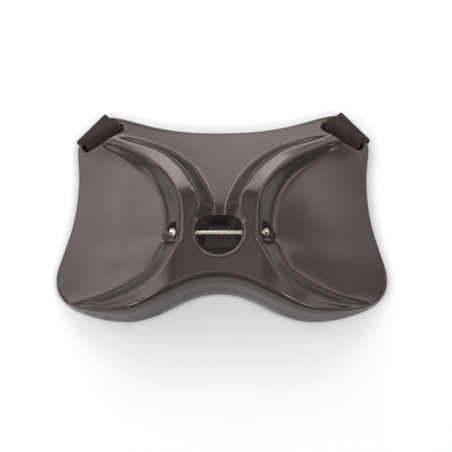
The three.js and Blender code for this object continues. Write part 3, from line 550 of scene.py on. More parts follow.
def soften(height, met, sigma):
    """Height map whose creases are rounded: at each cell the plane that fits the heights around it best,
    each weighted by a bell curve of its distance, gives the height there. Planes stay as they are."""
    reach = int(np.ceil(3 * sigma / CELL))
    offset = np.arange(-reach, reach + 1)
    bell = np.exp(-0.5 * (offset * CELL / sigma) ** 2)
    size = [n + 2 * reach for n in MAP_SIZE]

    def weigh(values, kx, ky):
        """Sum of the values around each cell, each times its weight."""
        kernel = np.outer(kx[::-1], ky[::-1])
        both = np.fft.rfft2(values, size) * np.fft.rfft2(kernel, size)
        return np.fft.irfft2(both, size)[reach:-reach, reach:-reach]

    m = met.astype(float)
    one, x, xx = bell, bell * offset, bell * offset**2
    w = [weigh(m, *k) for k in ((one, one), (x, one), (one, x), (xx, one), (x, x), (one, xx))]
    z = [weigh(m * height, *k) for k in ((one, one), (x, one), (one, x))]
    # Far from the plate these keep the plane at zero
    for term, least in ((0, 1e-9), (3, 1e-6), (5, 1e-6)):
        w[term] = w[term] + least
    left = np.stack([w[term] for term in (0, 1, 2, 1, 3, 4, 2, 4, 5)], -1).reshape(MAP_SIZE + (3, 3))
    right = np.stack(z, -1)[..., None]
    return np.linalg.solve(left, right)[..., 0, 0]


def read_map(heights, x, y):
    """Height at plan points, read from a map between its four nearest cells; the plate is symmetric."""
    at = (np.stack([np.abs(x), y], -1) - MAP_LOW) / CELL - 0.5
    low = np.clip(np.floor(at).astype(int), 0, np.array(MAP_SIZE) - 2)
    fx, fy = np.clip(np.moveaxis(at - low, -1, 0), 0, 1)
    i, j = low[..., 0], low[..., 1]
    return ((heights[i, j] * (1 - fx) + heights[i + 1, j] * fx) * (1 - fy)
            + (heights[i, j + 1] * (1 - fx) + heights[i + 1, j + 1] * fx) * fy)


def hollowed(heights, depth):
    """Map of the surface that a ball of the given radius leaves when it rolls under the front."""
    reach = int(depth / CELL)
    lowest = heights - depth
    for i in range(-reach, reach + 1):
        for j in range(-reach, reach + 1):
            flat = (i * i + j * j) * CELL * CELL
            if flat < depth * depth:
                moved = np.roll(heights, (i, j), (0, 1)) - math.sqrt(depth * depth - flat)
                lowest = np.minimum(lowest, moved)
    return lowest


def make_maps():
    """Front of the plate as a height map, and the cells it covers. Each block is levelled on its own and
    the crests between blocks are rounded. Beside the wings the feet are rounded more tightly at the top
    and more broadly below."""
    total = np.zeros(MAP_SIZE)
    count = np.zeros(MAP_SIZE)
    wings = np.zeros(MAP_SIZE, bool)
    for number, (block, levelling) in enumerate(zip(front_blocks(), BLOCK_LEVELLING)):
        height, met = fill_map(block)
        total += np.where(met, soften(height, met, levelling), 0)
        count += met
        if number < WING_BLOCKS:
            wings |= met
    covered = count > 0
    sharp = total / np.maximum(count, 1)
    crests = soften(sharp, covered, CREST_SOFTNESS)
    feet = soften(sharp, covered, FOOT_SOFTNESS)
    broad_feet = soften(sharp, covered, BROAD_FOOT_SOFTNESS)
    share = np.clip(soften(wings.astype(float), covered, WING_SHARE_SOFTNESS), 0, 1)
    y = MAP_LOW[1] + (np.arange(MAP_SIZE[1]) + 0.5) * CELL
    tight = smooth_step(*TIGHT_FOOT_Y, y)
    raised = -soft_min(crests - broad_feet, 0 * crests, FOOT_BLEND)
    shift = tight * np.minimum(feet - crests, 0) + (1 - tight) * raised
    return crests + shift * share, covered


front_map, plate_cells = make_maps()
back_map = hollowed(np.where(plate_cells, front_map, NO_PLATE), WALL)


def cup_height(r):
    """Height of the cup's inside by radius: a flat floor with a thin bead round it, a small round, a
    straight taper and a mouth that rolls over in a quarter ellipse."""
    rounded = np.clip((r - CUP_FLOOR_RADIUS + CUP_FLOOR_ROUND) / CUP_FLOOR_ROUND, 0, 1)
    bead = np.sqrt(np.maximum(CUP_BEAD**2 - (r - CUP_BEAD_RADIUS) ** 2, 0))
    floor = CUP_FLOOR + bead + CUP_FLOOR_RISE * (1 - np.sqrt(1 - np.clip(rounded, 0, 0.98) ** 2))
    taper = (r - CUP_FLOOR_RADIUS) / (CUP_THROAT_RADIUS - CUP_FLOOR_RADIUS)
    wall = CUP_FLOOR + CUP_FLOOR_RISE + taper * (CUP_THROAT_Z - CUP_FLOOR - CUP_FLOOR_RISE)
    across = CUP_MOUTH_RADIUS - CUP_THROAT_RADIUS
    roll = np.clip((CUP_MOUTH_RADIUS - r) / across, 0, 1)
    lip = CUP_THROAT_Z + (PLATEAU - CUP_THROAT_Z) * np.sqrt(1 - roll**2)
    beyond = PLATEAU + 2 * (r - CUP_MOUTH_RADIUS)
    return np.where(r < CUP_FLOOR_RADIUS, floor, np.where(
        r < CUP_THROAT_RADIUS, wall, np.where(r < CUP_MOUTH_RADIUS, lip, beyond)))


def round_trench(x, y, radius, start):
    """Height of a level trench with a half-round bottom about the bolt's axis, from |x| = start to the
    niche's rounded end. Before its start and beside it the height climbs steeply."""
    past = np.maximum(np.abs(x) - NICHE_STRAIGHT_END, 0)
    past = past * radius / (NICHE_ROUND_DEPTH + radius - NICHE_RADIUS)
    rho = np.hypot(y, past)
    low = BOLT_Z - np.sqrt(np.maximum(radius**2 - rho**2, 0))
    low = low + np.maximum(rho - radius, 0) * TRENCH_STEEPNESS
    return low + np.maximum(start - np.abs(x), 0) * 3 * TRENCH_STEEPNESS


def front_height(x, y):
    """Front surface: the lowest of the height map, the niches and the cup, with rounded meetings."""
    z = soft_min(read_map(front_map, x, y), round_trench(x, y, NICHE_RADIUS, BEARING_X), NICHE_EDGE)
    blend = np.where(y > TROUGH_SIDE_Y, MOUTH_EDGE_AT_TROUGH, MOUTH_EDGE)
    return soft_min(z, cup_height(np.hypot(x, y)), blend)


def back_height(x, y):
    """Underside: the lowest of the hollow's ceiling, the niche housings, the boss tubes and the cup's
    outside, each of which climbs steeply beside its own place."""
    r = np.hypot(x, y)
    base = CUP_FLOOR - CUP_BASE
    outer = CUP_FLOOR_RADIUS + CUP_WALL
    rise = CUP_THROAT_Z + CUP_OUTSIDE_RISE - base - CUP_BASE_CHAMFER
    cone = base + CUP_BASE_CHAMFER + (r - outer) * rise / (CUP_THROAT_RADIUS - CUP_FLOOR_RADIUS)
    chamfer = base + np.maximum(r - outer + CUP_BASE_CHAMFER, 0)
    cup = np.where(r < outer, chamfer, cone)
    tube = BOLT_Z - np.sqrt(np.maximum(BOSS_TUBE_RADIUS**2 - y**2, 0))
    tube = tube + np.maximum(np.abs(y) - BOSS_TUBE_RADIUS, 0) * TUBE_STEEPNESS
    tube = tube + np.maximum(np.abs(x) - BEARING_X, 0) * TUBE_END_STEEPNESS
    housing = round_trench(x, y, NICHE_RADIUS + BEARING_WALL, BEARING_X - BEARING_WALL)
    z = soft_min(read_map(back_map, x, y), housing, HOUSING_BLEND)
    return soft_min(soft_min(z, tube, UNDERSIDE_BLEND), cup, UNDERSIDE_BLEND)


def both_sides(right):
    """Rows over the right half's spokes, with the left half's mirrored after them."""
    left = right[:, 1:-1][:, ::-1] * np.array([-1, 1, 1])
    return np.concatenate([right, left], 1)


def spoke_angles():
    """Angles of the right half's spokes in degrees, closer together where the shape is finer."""
    turn = -90.0
    found = []
    for end, spacing in SPOKES:
        found.append(np.linspace(turn, end, round((end - turn) / spacing), endpoint=False))
        turn = end
    return np.concatenate(found + [[turn]])


def plate_rows():
    """The plate as rings over spokes about the cup's axis: front outwards from the cup's floor, over the
    rounded edge, down the wall, round the rim and inwards again over the hollow's ceiling."""
    spokes = spoke_angles()
    turn = np.radians(spokes)
    cos, sin = np.cos(turn), np.sin(turn)
    # The first and last spokes lie exactly on the middle line
    cos[0] = cos[-1] = 0.0
    wall, width, depth, rim = (at_spokes(spokes, Rim.curve, values) for values in (
        Rim.wall, Rim.width, Rim.depth, np.hypot(Rim.x, Rim.y)))
    out = at_spokes(spokes, Rim.edge, np.hypot(Rim.edge[:, 0], Rim.edge[:, 1]))
    niche_end = soft_min(np.full_like(out, NICHE_REACH), NICHE_REACH_SHARE * out, NICHE_REACH_BLEND)
    beside = 1 - smooth_step(*STRAIGHT_TURNS, np.abs(spokes))

    def straight(r):
        """Radii of a ring that runs parallel to the bearing face beside it."""
        near = beside * smooth_step(*STRAIGHT_GROWS, r) * (1 - smooth_step(*STRAIGHT_FADES, r))
        return r * (1 + near * (1 / np.maximum(cos, 0.5) - 1))

    def ring(r, height):
        """Points of one ring on a surface that is given by its height."""
        r = np.broadcast_to(r, spokes.shape)
        return np.stack([r * cos, r * sin, height(r * cos, r * sin)], -1)

    def niche_radius(r):
        """Radii of a niche ring, drawn in where the plate is narrow."""
        first = NICHE_RINGS[0]
        return straight(first + (niche_end - first) * (r - first) / (NICHE_REACH - first))

    front = [ring(r, front_height) for r in CUP_RINGS]
    front += [ring(niche_radius(r), front_height) for r in NICHE_RINGS]
    niches = niche_radius(NICHE_REACH)
    # Outer rings, closer together near the niches
    for u in np.linspace(0, 1, OUTER_RINGS):
        spaced = (1 - OUTER_RING_SHARE) * u + OUTER_RING_SHARE * u**OUTER_RING_POWER
        front.append(ring(niches + (out - niches) * spaced, front_height))
    top = front[-1][:, 2]

    def edge_ring(distance, height):
        """Points at a distance in from the rim, at a height that may depend on the rim's own."""
        r = rim + (out - rim) * distance / (wall + width)
        x = r * cos
        return np.stack([x, r * sin, height(rim_height(x))], -1)

    edge = []
    for turned in np.radians(EDGE_TURNS):
        fall = depth * (1 - math.cos(turned))
        edge.append(edge_ring(wall + width * (1 - math.sin(turned)), lambda low: top - fall))
    for t in WALL_SHARES:
        edge.append(edge_ring(wall * (1 - t), lambda low: (top - depth) * (1 - t) + low * t))
    for distance, lift in RIM_SECTION:
        edge.append(edge_ring(np.full_like(wall, distance), lambda low: low + lift))
    ceiling = top - WALL
    for t in INNER_WALL_SHARES:
        inner = WALL + t * (wall + width + INNER_WALL_EXTRA - WALL)
        edge.append(edge_ring(inner, lambda low: (low + INNER_WALL_FOOT) * (1 - t)
                              + (ceiling - INNER_WALL_TOP) * t))

    inside = out - CEILING_INSET
    back = [ring(inside + (niches - inside) * u, back_height) for u in np.linspace(0, 1, BACK_RINGS)]
    back += [ring(niche_radius(r), back_height) for r in BACK_NICHE_RINGS]
    back += [ring(r, back_height) for r in BACK_CUP_RINGS]
    return both_sides(np.array(front + edge + back))


def slot_outline(margin, count=96):
    """Rounded rectangle of the strap slot on the right, larger by a margin."""
    corner = SLOT_CORNER + margin
    reach = np.array([SLOT_LENGTH / 2 - SLOT_CORNER, SLOT_WIDTH / 2 - SLOT_CORNER])
    turn = (np.arange(count) + 0.5) * 2 * np.pi / count
    way = np.stack([np.cos(turn), np.sin(turn)], -1)
    flat = np.sign(way) * reach + way * corner
    c, s = math.cos(-SLOT_ANGLE), math.sin(-SLOT_ANGLE)
    turned = np.array([[c, -s], [s, c]])
    return flat @ turned.T + [SLOT_X, SLOT_Y]


def slot_cutter():
    """Upright prisms a little larger than both strap slots, to open the plate there."""
    parts = []
    faces = []
    right = slot_outline(SLOT_CUT_MARGIN)
    n = len(right)
    for loop in (right, (right * [-1, 1])[::-1]):
        lower = np.arange(n) + len(parts) * n
        upper = lower + n
        parts += [np.column_stack([loop, np.full(n, z)]) for z in SLOT_CUT_Z]
        faces += np.stack([lower, np.roll(lower, -1), np.roll(upper, -1), upper], -1).tolist()
        faces += [lower[::-1].tolist(), upper.tolist()]
    return make_object("slot_cutter", np.concatenate(parts), faces, None, plastic)


def slot_collar(side):
    """Lining of a strap slot: a closed ring whose profile rounds over at the top, runs down the slot's
    wall to its lower end and comes back up outside it, below the plate's surface."""
    surface = slot_outline(COLLAR_TOP_MARGIN)
    top = read_map(front_map, *surface.T) + COLLAR_TOP
    along = np.abs((surface - [SLOT_X, SLOT_Y]) @ SLOT_ACROSS)
    bottom = np.where(along > SLOT_LENGTH / 2 - COLLAR_END, SLOT_END_BOTTOM, SLOT_RIM_BOTTOM)
    # Distance out from the slot, height above the level it starts from, that level
    profile = [
        (0.0, -1.7, top), (0.13, -1.05, top), (0.5, -0.5, top), (1.05, -0.13, top), (1.7, 0.0, top),
        (2.3, -0.05, top), (SLOT_RIM, -0.5, top), (SLOT_RIM, -2.5, top), (SLOT_RIM, 0.6, bottom),
        (SLOT_RIM - 0.6, 0.0, bottom), (0.6, 0.0, bottom), (0.0, 0.6, bottom),
    ]
    rows = np.array([np.column_stack([slot_outline(out), level + lift]) for out, lift, level in profile])
    points, faces = closed_loop(rows)
    if side < 0:
        points = points * np.array([-1, 1, 1])
        faces = [face[::-1] for face in faces]
    return points, faces


def make_plate():
    """The plate's shell with both strap slots cut through it and lined."""
    points, faces = closed_rings(plate_rows(), [0, 0, CUP_FLOOR], [0, 0, CUP_FLOOR - CUP_BASE])
    plate = make_object("plate", points, faces, "moulded_plastic", plastic)
    cutter = slot_cutter()
    cut = plate.modifiers.new("slots", "BOOLEAN")
    cut.object = cutter
    cut.operation = "DIFFERENCE"
    cut.solver = "EXACT"
    dg = bpy.context.evaluated_depsgraph_get()
    opened = bpy.data.meshes.new_from_object(plate.evaluated_get(dg))
    plate.modifiers.clear()
    plate.data = opened
    bpy.data.objects.remove(cutter)
    opened.set_sharp_from_angle(angle=PLATE_SHARP_ANGLE)
    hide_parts("plate_shell")
    for side, name in ((1, "slot_collar_right"), (-1, "slot_collar_left")):
        make_object(name, *slot_collar(side), "moulded_plastic", plastic)


def round_the_bolt(x, radius, angle):
    """Points at places along the bolt's axis, at a radius and an angle about it."""
    x, radius, angle = np.broadcast_arrays(x, radius, angle)
    return np.stack([x, radius * np.cos(angle), BOLT_Z + radius * np.sin(angle)], -1)


def turned_rows(profile, sides):
    """Profile rows of radius and x carried round the bolt's axis."""
    radius, along = np.array(profile, float).T
    return round_the_bolt(along[:, None], radius[:, None], np.arange(sides) * 2 * np.pi / sides)


def hex_rows(start, end, chamfer_start, chamfer_end, sides=96):
    """Hexagonal prism with rounded corners and its ends turned to a cone: at each angle the radius is
    the hexagon's, but no more than the cone allows at that height."""
    angle = np.arange(sides) * 2 * np.pi / sides
    flat = HEX_ACROSS_FLATS / 2
    sector = (angle + np.pi / 6) % (np.pi / 3) - np.pi / 6
    hexagon = soft_min(flat / np.cos(sector), np.full(sides, flat * HEX_CORNER), HEX_CORNER_ROUND)
    steps = np.array(HEX_STEPS)
    x = np.concatenate([start + steps, end - steps[::-1]])[:, None]
    radius = np.broadcast_to(hexagon, (len(x), sides))
    for chamfered, face in ((chamfer_start, start), (chamfer_end, end)):
        if chamfered:
            radius = np.minimum(radius, flat * HEX_CONE_START + HEX_CONE_SLOPE * np.abs(x - face))
    return round_the_bolt(x, radius, angle)


def make_fitting(name, shapes, coat, node):
    """One steel piece on the bolt's axis from several closed shapes, each its points and faces."""
    points = np.concatenate([some_points for some_points, _ in shapes])
    faces = []
    base = 0
    for some_points, some_faces in shapes:
        faces += [[corner + base for corner in face[::-1]] for face in some_faces]
        base += len(some_points)
    piece = make_object(name, points, faces, "bright_steel", coat)
    piece.data.set_sharp_from_angle(angle=STEEL_SHARP_ANGLE)
    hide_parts(node)


def make_bolt():
    """Hex flange bolt lying across the cup: domed hex head, flange, plain shank and a threaded tip whose
    radius follows a sine of the angle and the distance along it."""
    under = BEARING_X + GAP
    flange_end = -under - FLANGE_THICKNESS
    head_end = flange_end - HEAD_THICKNESS
    tip = under + WASHER_THICKNESS + 2 * GAP + NUT_THICKNESS + BOLT_TIP
    head = hex_rows(head_end, flange_end + 0.4, True, False)
    flange = turned_rows([
        [4.6, flange_end - 0.7], [5.3, flange_end - 0.2], [FLANGE_RADIUS - 0.3, flange_end + 0.15],
        [FLANGE_RADIUS, flange_end + 0.45], [FLANGE_RADIUS, -under - 0.3], [FLANGE_RADIUS - 0.3, -under],
    ], BOLT_SIDES)
    plain = turned_rows([[BOLT_RADIUS, flange_end + 0.5], [BOLT_RADIUS, THREAD_START]], BOLT_SIDES)
    along = np.linspace(THREAD_START, tip - 0.7, THREAD_ROWS)[:, None]
    angle = np.arange(BOLT_SIDES) * 2 * np.pi / BOLT_SIDES
    wave = 0.5 - 0.5 * np.cos(2 * np.pi * along / THREAD_PITCH + angle)
    fade = smooth_step(THREAD_START + 0.5, THREAD_START + 3, along)
    thread = round_the_bolt(along, BOLT_RADIUS - THREAD_DEPTH * wave * fade, angle)
    end = turned_rows([[BOLT_RADIUS - 0.5, tip - 0.6], [BOLT_RADIUS - 1.1, tip]], BOLT_SIDES)
    shank = np.concatenate([plain, thread, end])
    shapes = [closed_rings(rows, rows[0].mean(0), rows[-1].mean(0)) for rows in (head, flange, shank)]
    make_fitting("bolt", shapes, steel, "cross_bolt")


def make_nut():
    """Hex nut, chamfered on both faces, with a bore that opens at each end."""
    start = BEARING_X + 2 * GAP + WASHER_THICKNESS
    end = start + NUT_THICKNESS
    outside = hex_rows(start, end, True, True)
    bore = turned_rows([
        [NUT_BORE_MOUTH, end], [NUT_BORE, end - 0.5], [NUT_BORE, start + 0.5], [NUT_BORE_MOUTH, start],
    ], outside.shape[1])
    rows = np.concatenate([outside, bore])
    make_fitting("nut", [closed_loop(rows)], plated_steel, "hex_nut")


def make_washer():
    """Flat washer with its outer edges broken."""
    start = BEARING_X + GAP
    end = start + WASHER_THICKNESS
    rows = turned_rows([
        [WASHER_BORE, start], [WASHER_RADIUS - WASHER_EDGE, start], [WASHER_RADIUS, start + WASHER_EDGE],
        [WASHER_RADIUS, end - WASHER_EDGE], [WASHER_RADIUS - WASHER_EDGE, end], [WASHER_BORE, end],
    ], BOLT_SIDES)
    make_fitting("washer", [closed_loop(rows)], steel, "cross_washer")


def at_slot(distance, z):
    """Cross-line of the strap at a distance outwards from the slot: its middle's x, y and z, the x and y
    of the direction across, and its rise to that side."""
    plan = SLOT_OUT * distance + SLOT_ACROSS * STRAP_IN_SLOT_SHIFT + [SLOT_X, SLOT_Y]
    return np.array([*plan, z, *SLOT_ACROSS, 0.0])


def at_fold(distance, z, rise=0.0):
    """Cross-line at a distance outwards from the fold at the corner."""
    return np.array([*(FOLD_OUT * distance + [FOLD_X, FOLD_Y]), z, *FOLD_ACROSS, rise])


def midway(a, b, t):
    """Cross-line at a share t of the way from one to another."""
    row = a + (b - a) * t
    row[3:5] /= np.linalg.norm(row[3:5])
    return row


def on_surface(row):
    """Lays a cross-line on the plate: it leans with the surface, and no part of it dips below. Its own z
    is added to the height."""
    t = np.linspace(-1, 1, 21)
    x, y = row[0:2, None] + row[3:5, None] * t * STRAP_WIDTH / 2
    cell = ((np.stack([x, y], -1) - MAP_LOW) / CELL).astype(int)
    ok = plate_cells[cell[:, 0], cell[:, 1]]
    t, height = t[ok], read_map(front_map, x[ok], y[ok])
    rise = (height[-1] - height[0]) / (t[-1] - t[0])
    laid = row.copy()
    laid[5] = rise
    laid[2] = (height - rise * t).max() + GAP + STRAP_THICKNESS / 2 + row[2]
    return laid


def strap_rows():
    """Strap on the right: sewn tail, up through the slot, over the corner bar, round the corner and
    straight in under the plate to the clasp, round the clasp's bar and back on itself."""
    half = STRAP_THICKNESS / 2
    tail = 3 * half + 0.4
    bar_turn = CLASP_BAR_THICKNESS + STRAP_THICKNESS + 2 * GAP
    bar = -STRAP_LEG
    corner = on_surface(at_fold(-7.8, 0.3))
    z, rise = corner[2], corner[5]
    # Distances outwards and heights; on the surface the height is added to the plate's
    return np.array([
        at_fold(-STRAP_TAIL_END, tail), at_fold(-44, tail), at_slot(-8, tail + 0.1),
        at_slot(-3.4, tail + 1.5), at_slot(-0.4, tail + 4.4),
        on_surface(at_slot(1.5, -7.6)), on_surface(at_slot(3.0, -4.2)),
        on_surface(at_slot(4.9, -1.1)), on_surface(at_slot(7.8, 0.9)),
        *[on_surface(midway(at_slot(11, 1.4), at_fold(-11.5, 0.9), t)) for t in (0, 0.4, 0.75, 1)],
        corner, at_fold(-4.8, z - 0.3, rise), at_fold(-2.2, z - 1.9, rise),
        at_fold(-half, z - 4.4, rise * 0.6),
        at_fold(-half, 4.6), at_fold(-1.6, 2.6), at_fold(-3.2, 1.4), at_fold(-5.4, half),
        at_fold(bar + CLASP_BAR + 6, half), at_fold(bar - 1.2, half), at_fold(bar - 2.6, half + 0.6),
        at_fold(bar - 3.4, half + 2), at_fold(bar - 3.4, half + bar_turn - 2),
        at_fold(bar - 2.6, half + bar_turn - 0.6), at_fold(bar - 1.2, half + bar_turn),
        at_fold(bar + CLASP_BAR + 4, half + bar_turn), at_fold(bar + CLASP_BAR + 9, half + bar_turn - 1.4),
        at_fold(bar + CLASP_BAR + 15, tail + 0.2), at_fold(bar + CLASP_BAR + 38, tail + 0.2),
    ])


def strap_surface(side):
    """Flat webbing carried along the strap's path: across it a slim rounded section whose two faces have
    fine lengthwise ribs. Gives points, faces, the places along and across, and the length."""
    path = even_spline(strap_rows(), 12)
    length = np.concatenate([[0], np.cumsum(np.linalg.norm(np.diff(path[:, :3], axis=0), axis=1))])
    even = np.linspace(0, length[-1], int(length[-1] / STRAP_ROW_SPACING))
    path = np.stack([np.interp(even, length, column) for column in path.T], -1)
    # The underside lies on the floor, with room for the ribs
    path[:, 2] = np.maximum(path[:, 2], STRAP_THICKNESS / 2 * (1 + RIB_DEPTH + 0.01))
    middle = path[:, :3]
    across = np.column_stack([path[:, 3:5] * STRAP_WIDTH / 2, path[:, 5]])
    lift = np.cross(across, np.gradient(middle, axis=0))
    lift /= np.linalg.norm(lift, axis=1)[:, None]
    # Columns from edge to edge, closer together at the rounded edges
    s = np.sin(np.linspace(-np.pi / 2, np.pi / 2, STRAP_COLUMNS))
    s = STRAP_EDGE_SHARE * s + (1 - STRAP_EDGE_SHARE) * np.linspace(-1, 1, STRAP_COLUMNS)
    ribs = 1 - RIB_DEPTH * np.cos(s * STRAP_WIDTH / 2 * 2 * np.pi / RIB_PITCH)
    thick = STRAP_THICKNESS / 2 * np.sqrt(1 - np.abs(s) ** STRAP_EDGE_POWER) * ribs
    round_s = np.concatenate([s, s[::-1][1:-1]])
    round_t = np.concatenate([thick, -thick[::-1][1:-1]])
    rows = middle[:, None] + across[:, None] * round_s[:, None] + lift[:, None] * round_t[:, None]
    count, columns = rows.shape[:2]
    faces = grid_faces(count, columns)
    ends = [np.arange(columns), np.arange(columns)[::-1] + (count - 1) * columns]
    if side < 0:
        rows = rows * np.array([-1, 1, 1])
    else:
        faces = faces[:, ::-1]
        ends = [end[::-1] for end in ends]
    along_strap = np.broadcast_to(even[:, None], (count, columns))
    across_strap = np.broadcast_to(round_s * STRAP_WIDTH / 2, (count, columns))
    faces = faces.tolist() + [end.tolist() for end in ends]
    return rows.reshape(-1, 3), faces, along_strap, across_strap, even[-1]


def make_strap(side, name, node):
    """One strap as a sheet, with its lengthwise and crosswise places in metres as its UV map."""
    points, faces, along, across, length = strap_surface(side)
    strap = make_object(name, points, faces, "webbing", webbing)
    uv = np.stack([along.ravel(), across.ravel()], -1) * MM
    layer = strap.data.uv_layers.new(name="along_and_across")
    corner = np.empty(len(strap.data.loops), int)
    strap.data.loops.foreach_get("vertex_index", corner)
    layer.data.foreach_set("uv", uv[corner].ravel())
    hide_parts(node)


def make_clasp_half(name, node):
    """Clasp half: the solid's own faces with every edge rounded."""
    piece = add_object(name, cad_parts[node].data.copy())
    mesh = bmesh.new()
    mesh.from_mesh(piece.data)
    bmesh.ops.remove_doubles(mesh, verts=mesh.verts, dist=1e-6)
    bmesh.ops.dissolve_limit(mesh, angle_limit=0.02, verts=mesh.verts, edges=mesh.edges)
    mesh.to_mesh(piece.data)
    mesh.free()
    piece.data.materials.clear()
    piece.data.materials.append(clasp_plastic)
    piece.data.polygons.foreach_set("use_smooth", np.full(len(piece.data.polygons), True))
    bevel = piece.modifiers.new("rounded", "BEVEL")
    bevel.width = CLASP_ROUND * MM
    bevel.segments = 3
    bevel.limit_method = "ANGLE"
    bevel.harden_normals = True
    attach(piece, "root")
    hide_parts(node)


def new_material(name):
    """Material with no nodes yet."""
    made = bpy.data.materials.new(name)
    made.use_nodes = True
    made.node_tree.nodes.clear()
    return made


def add_node(made, kind, values=None, links=None, **settings):
    """One node with its settings, values by input and links from other nodes' outputs."""
    node = made.node_tree.nodes.new(kind)
    for key, value in settings.items():
        setattr(node, key, value)
    for key, value in (values or {}).items():
        node.inputs[key].default_value = value
    for key, output in (links or {}).items():
        made.node_tree.links.new(output, node.inputs[key])
    return node


def finish(made, values, links=None):
    """Ends a material with a plain shader, set to values and to other nodes' outputs."""
    shader = add_node(made, "ShaderNodeBsdfPrincipled", values, links)
    add_node(made, "ShaderNodeOutputMaterial", None, {"Surface": shader.outputs[0]})
    return made


def noise(made, where, scale, detail=3.0, rough=0.5):
    """Cloudy grey value."""
    return add_node(made, "ShaderNodeTexNoise", {"Scale": scale, "Detail": detail, "Roughness": rough},
                    {"Vector": where}).outputs["Fac"]


def spread(made, value, low, high, from_low=0.35, from_high=0.65):
    """Takes a grey value from one span to another."""
    return add_node(made, "ShaderNodeMapRange", {"From Min": from_low, "From Max": from_high,
                    "To Min": low, "To Max": high}, {"Value": value}).outputs["Result"]


def mixed(made, value, first, second):
    """Colour between two, by a grey value."""
    return add_node(made, "ShaderNodeMix", {6: first, 7: second}, {0: value}, data_type="RGBA").outputs[2]


def bumped(made, height, distance, strength=1.0, under=None):
    """Surface direction tilted by a grey value, over another if one is given."""
    links = {"Height": height}
    if under is not None:
        links["Normal"] = under
    return add_node(made, "ShaderNodeBump", {"Distance": distance, "Strength": strength}, links).outputs[0]


def moulded_plastic():
    """Gunmetal plastic with a pearly satin face and a fine orange-peel texture."""
    made = new_material("gunmetal_plastic")
    where = add_node(made, "ShaderNodeTexCoord").outputs["Object"]
    cloud = noise(made, where, 14.0, 2.0)
    speck = noise(made, where, 900.0, 2.0)
    tone = mixed(made, spread(made, cloud, 0.0, 1.0), (0.078, 0.063, 0.06, 1), (0.087, 0.07, 0.067, 1))
    rough = spread(made, speck, 0.19, 0.23)
    peel = bumped(made, noise(made, where, 620.0, 2.0), 0.00002, 0.35)
    soft = bumped(made, noise(made, where, 60.0, 2.0), 0.0004, 0.12, peel)
    return finish(made, {"Metallic": 0.5, "Specular IOR Level": 0.5},
                  {"Base Color": tone, "Roughness": rough, "Normal": soft})


def bright_steel(name, dull, clear):
    """Bright steel between two tones, a little duller in fine rings round the bolt's axis."""
    made = new_material(name)
    where = add_node(made, "ShaderNodeTexCoord").outputs["Object"]
    rings = add_node(made, "ShaderNodeMapping", {"Scale": (900, 30, 30)}, {"Vector": where}).outputs[0]
    marks = noise(made, rings, 1.0, 2.0)
    tone = mixed(made, spread(made, noise(made, where, 200.0), 0.0, 1.0), dull, clear)
    rough = spread(made, marks, 0.26, 0.31)
    return finish(made, {"Metallic": 1.0}, {"Base Color": tone, "Roughness": rough})


def strap_webbing():
    """Dark polyester webbing: ribs along it, picks across it and a soft dusty face."""
    made = new_material("dark_webbing")
    where = add_node(made, "ShaderNodeTexCoord").outputs["UV"]
    ribs = add_node(made, "ShaderNodeTexWave", {"Scale": 210.0, "Distortion": 0.0}, {"Vector": where},
                    wave_type="BANDS", bands_direction="Y")
    picks = add_node(made, "ShaderNodeTexWave", {"Scale": 330.0, "Distortion": 0.6, "Detail": 1.0},
                     {"Vector": where}, wave_type="BANDS", bands_direction="DIAGONAL")
    weave = add_node(made, "ShaderNodeMath", None, {0: ribs.outputs["Fac"], 1: picks.outputs["Fac"]},
                     operation="MULTIPLY").outputs[0]
    fibre = noise(made, where, 2500.0, 2.0)
    tone = mixed(made, spread(made, weave, 0.0, 1.0, 0.1, 0.8),
                 (0.036, 0.025, 0.0225, 1), (0.056, 0.04, 0.036, 1))
    face = bumped(made, fibre, 0.0001, 0.4, bumped(made, weave, 0.0002, 0.5))
    return finish(made, {"Roughness": 0.92, "Sheen Weight": 0.12, "Sheen Roughness": 0.5,
                         "Sheen Tint": (1.0, 0.86, 0.8, 1), "Specular IOR Level": 0.15},
                  {"Base Color": tone, "Normal": face})


def clasp_finish():
    """Black clasp plastic with a light spark texture."""
    made = new_material("black_clasp_plastic")
    where = add_node(made, "ShaderNodeTexCoord").outputs["Object"]
    grain = noise(made, where, 1500.0, 3.0)
    tone = mixed(made, spread(made, grain, 0.0, 1.0), (0.012, 0.012, 0.012, 1), (0.02, 0.019, 0.019, 1))
    return finish(made, {}, {"Base Color": tone, "Roughness": spread(made, grain, 0.42, 0.58),
                             "Normal": bumped(made, grain, 0.00006, 0.6)})


def pale_floor():
    """Plain pale studio floor."""
    return finish(new_material("pale_floor"), {
        "Base Color": (0.9, 0.9, 0.9, 1), "Roughness": 0.7, "Specular IOR Level": 0.2})


# Camera, as the photograph was taken: its distance, the focal length and the
# picture's side in pixels, the sensor's width, and the tilts and the target
# that fit the plate's outline
VIEW_DISTANCE = 1.5
FOCAL_PIXELS = 1250.0
PICTURE_PIXELS = 452.0
SENSOR = 36.0
VIEW_TILT = math.radians(18.0)
VIEW_SIDE = math.radians(2.8)
VIEW_ROLL = math.radians(0.7)
VIEW_TARGET = np.array([0.0068, -0.0204, 0.030])


def hang(name, data, side, up, back, at):
    """Puts a camera or a light in place, turned to its three directions."""
    hung = add_object(name, data)
    hung.matrix_world = Matrix([[side[i], up[i], back[i], at[i]] for i in range(3)] + [[0, 0, 0, 1]])
    return hung


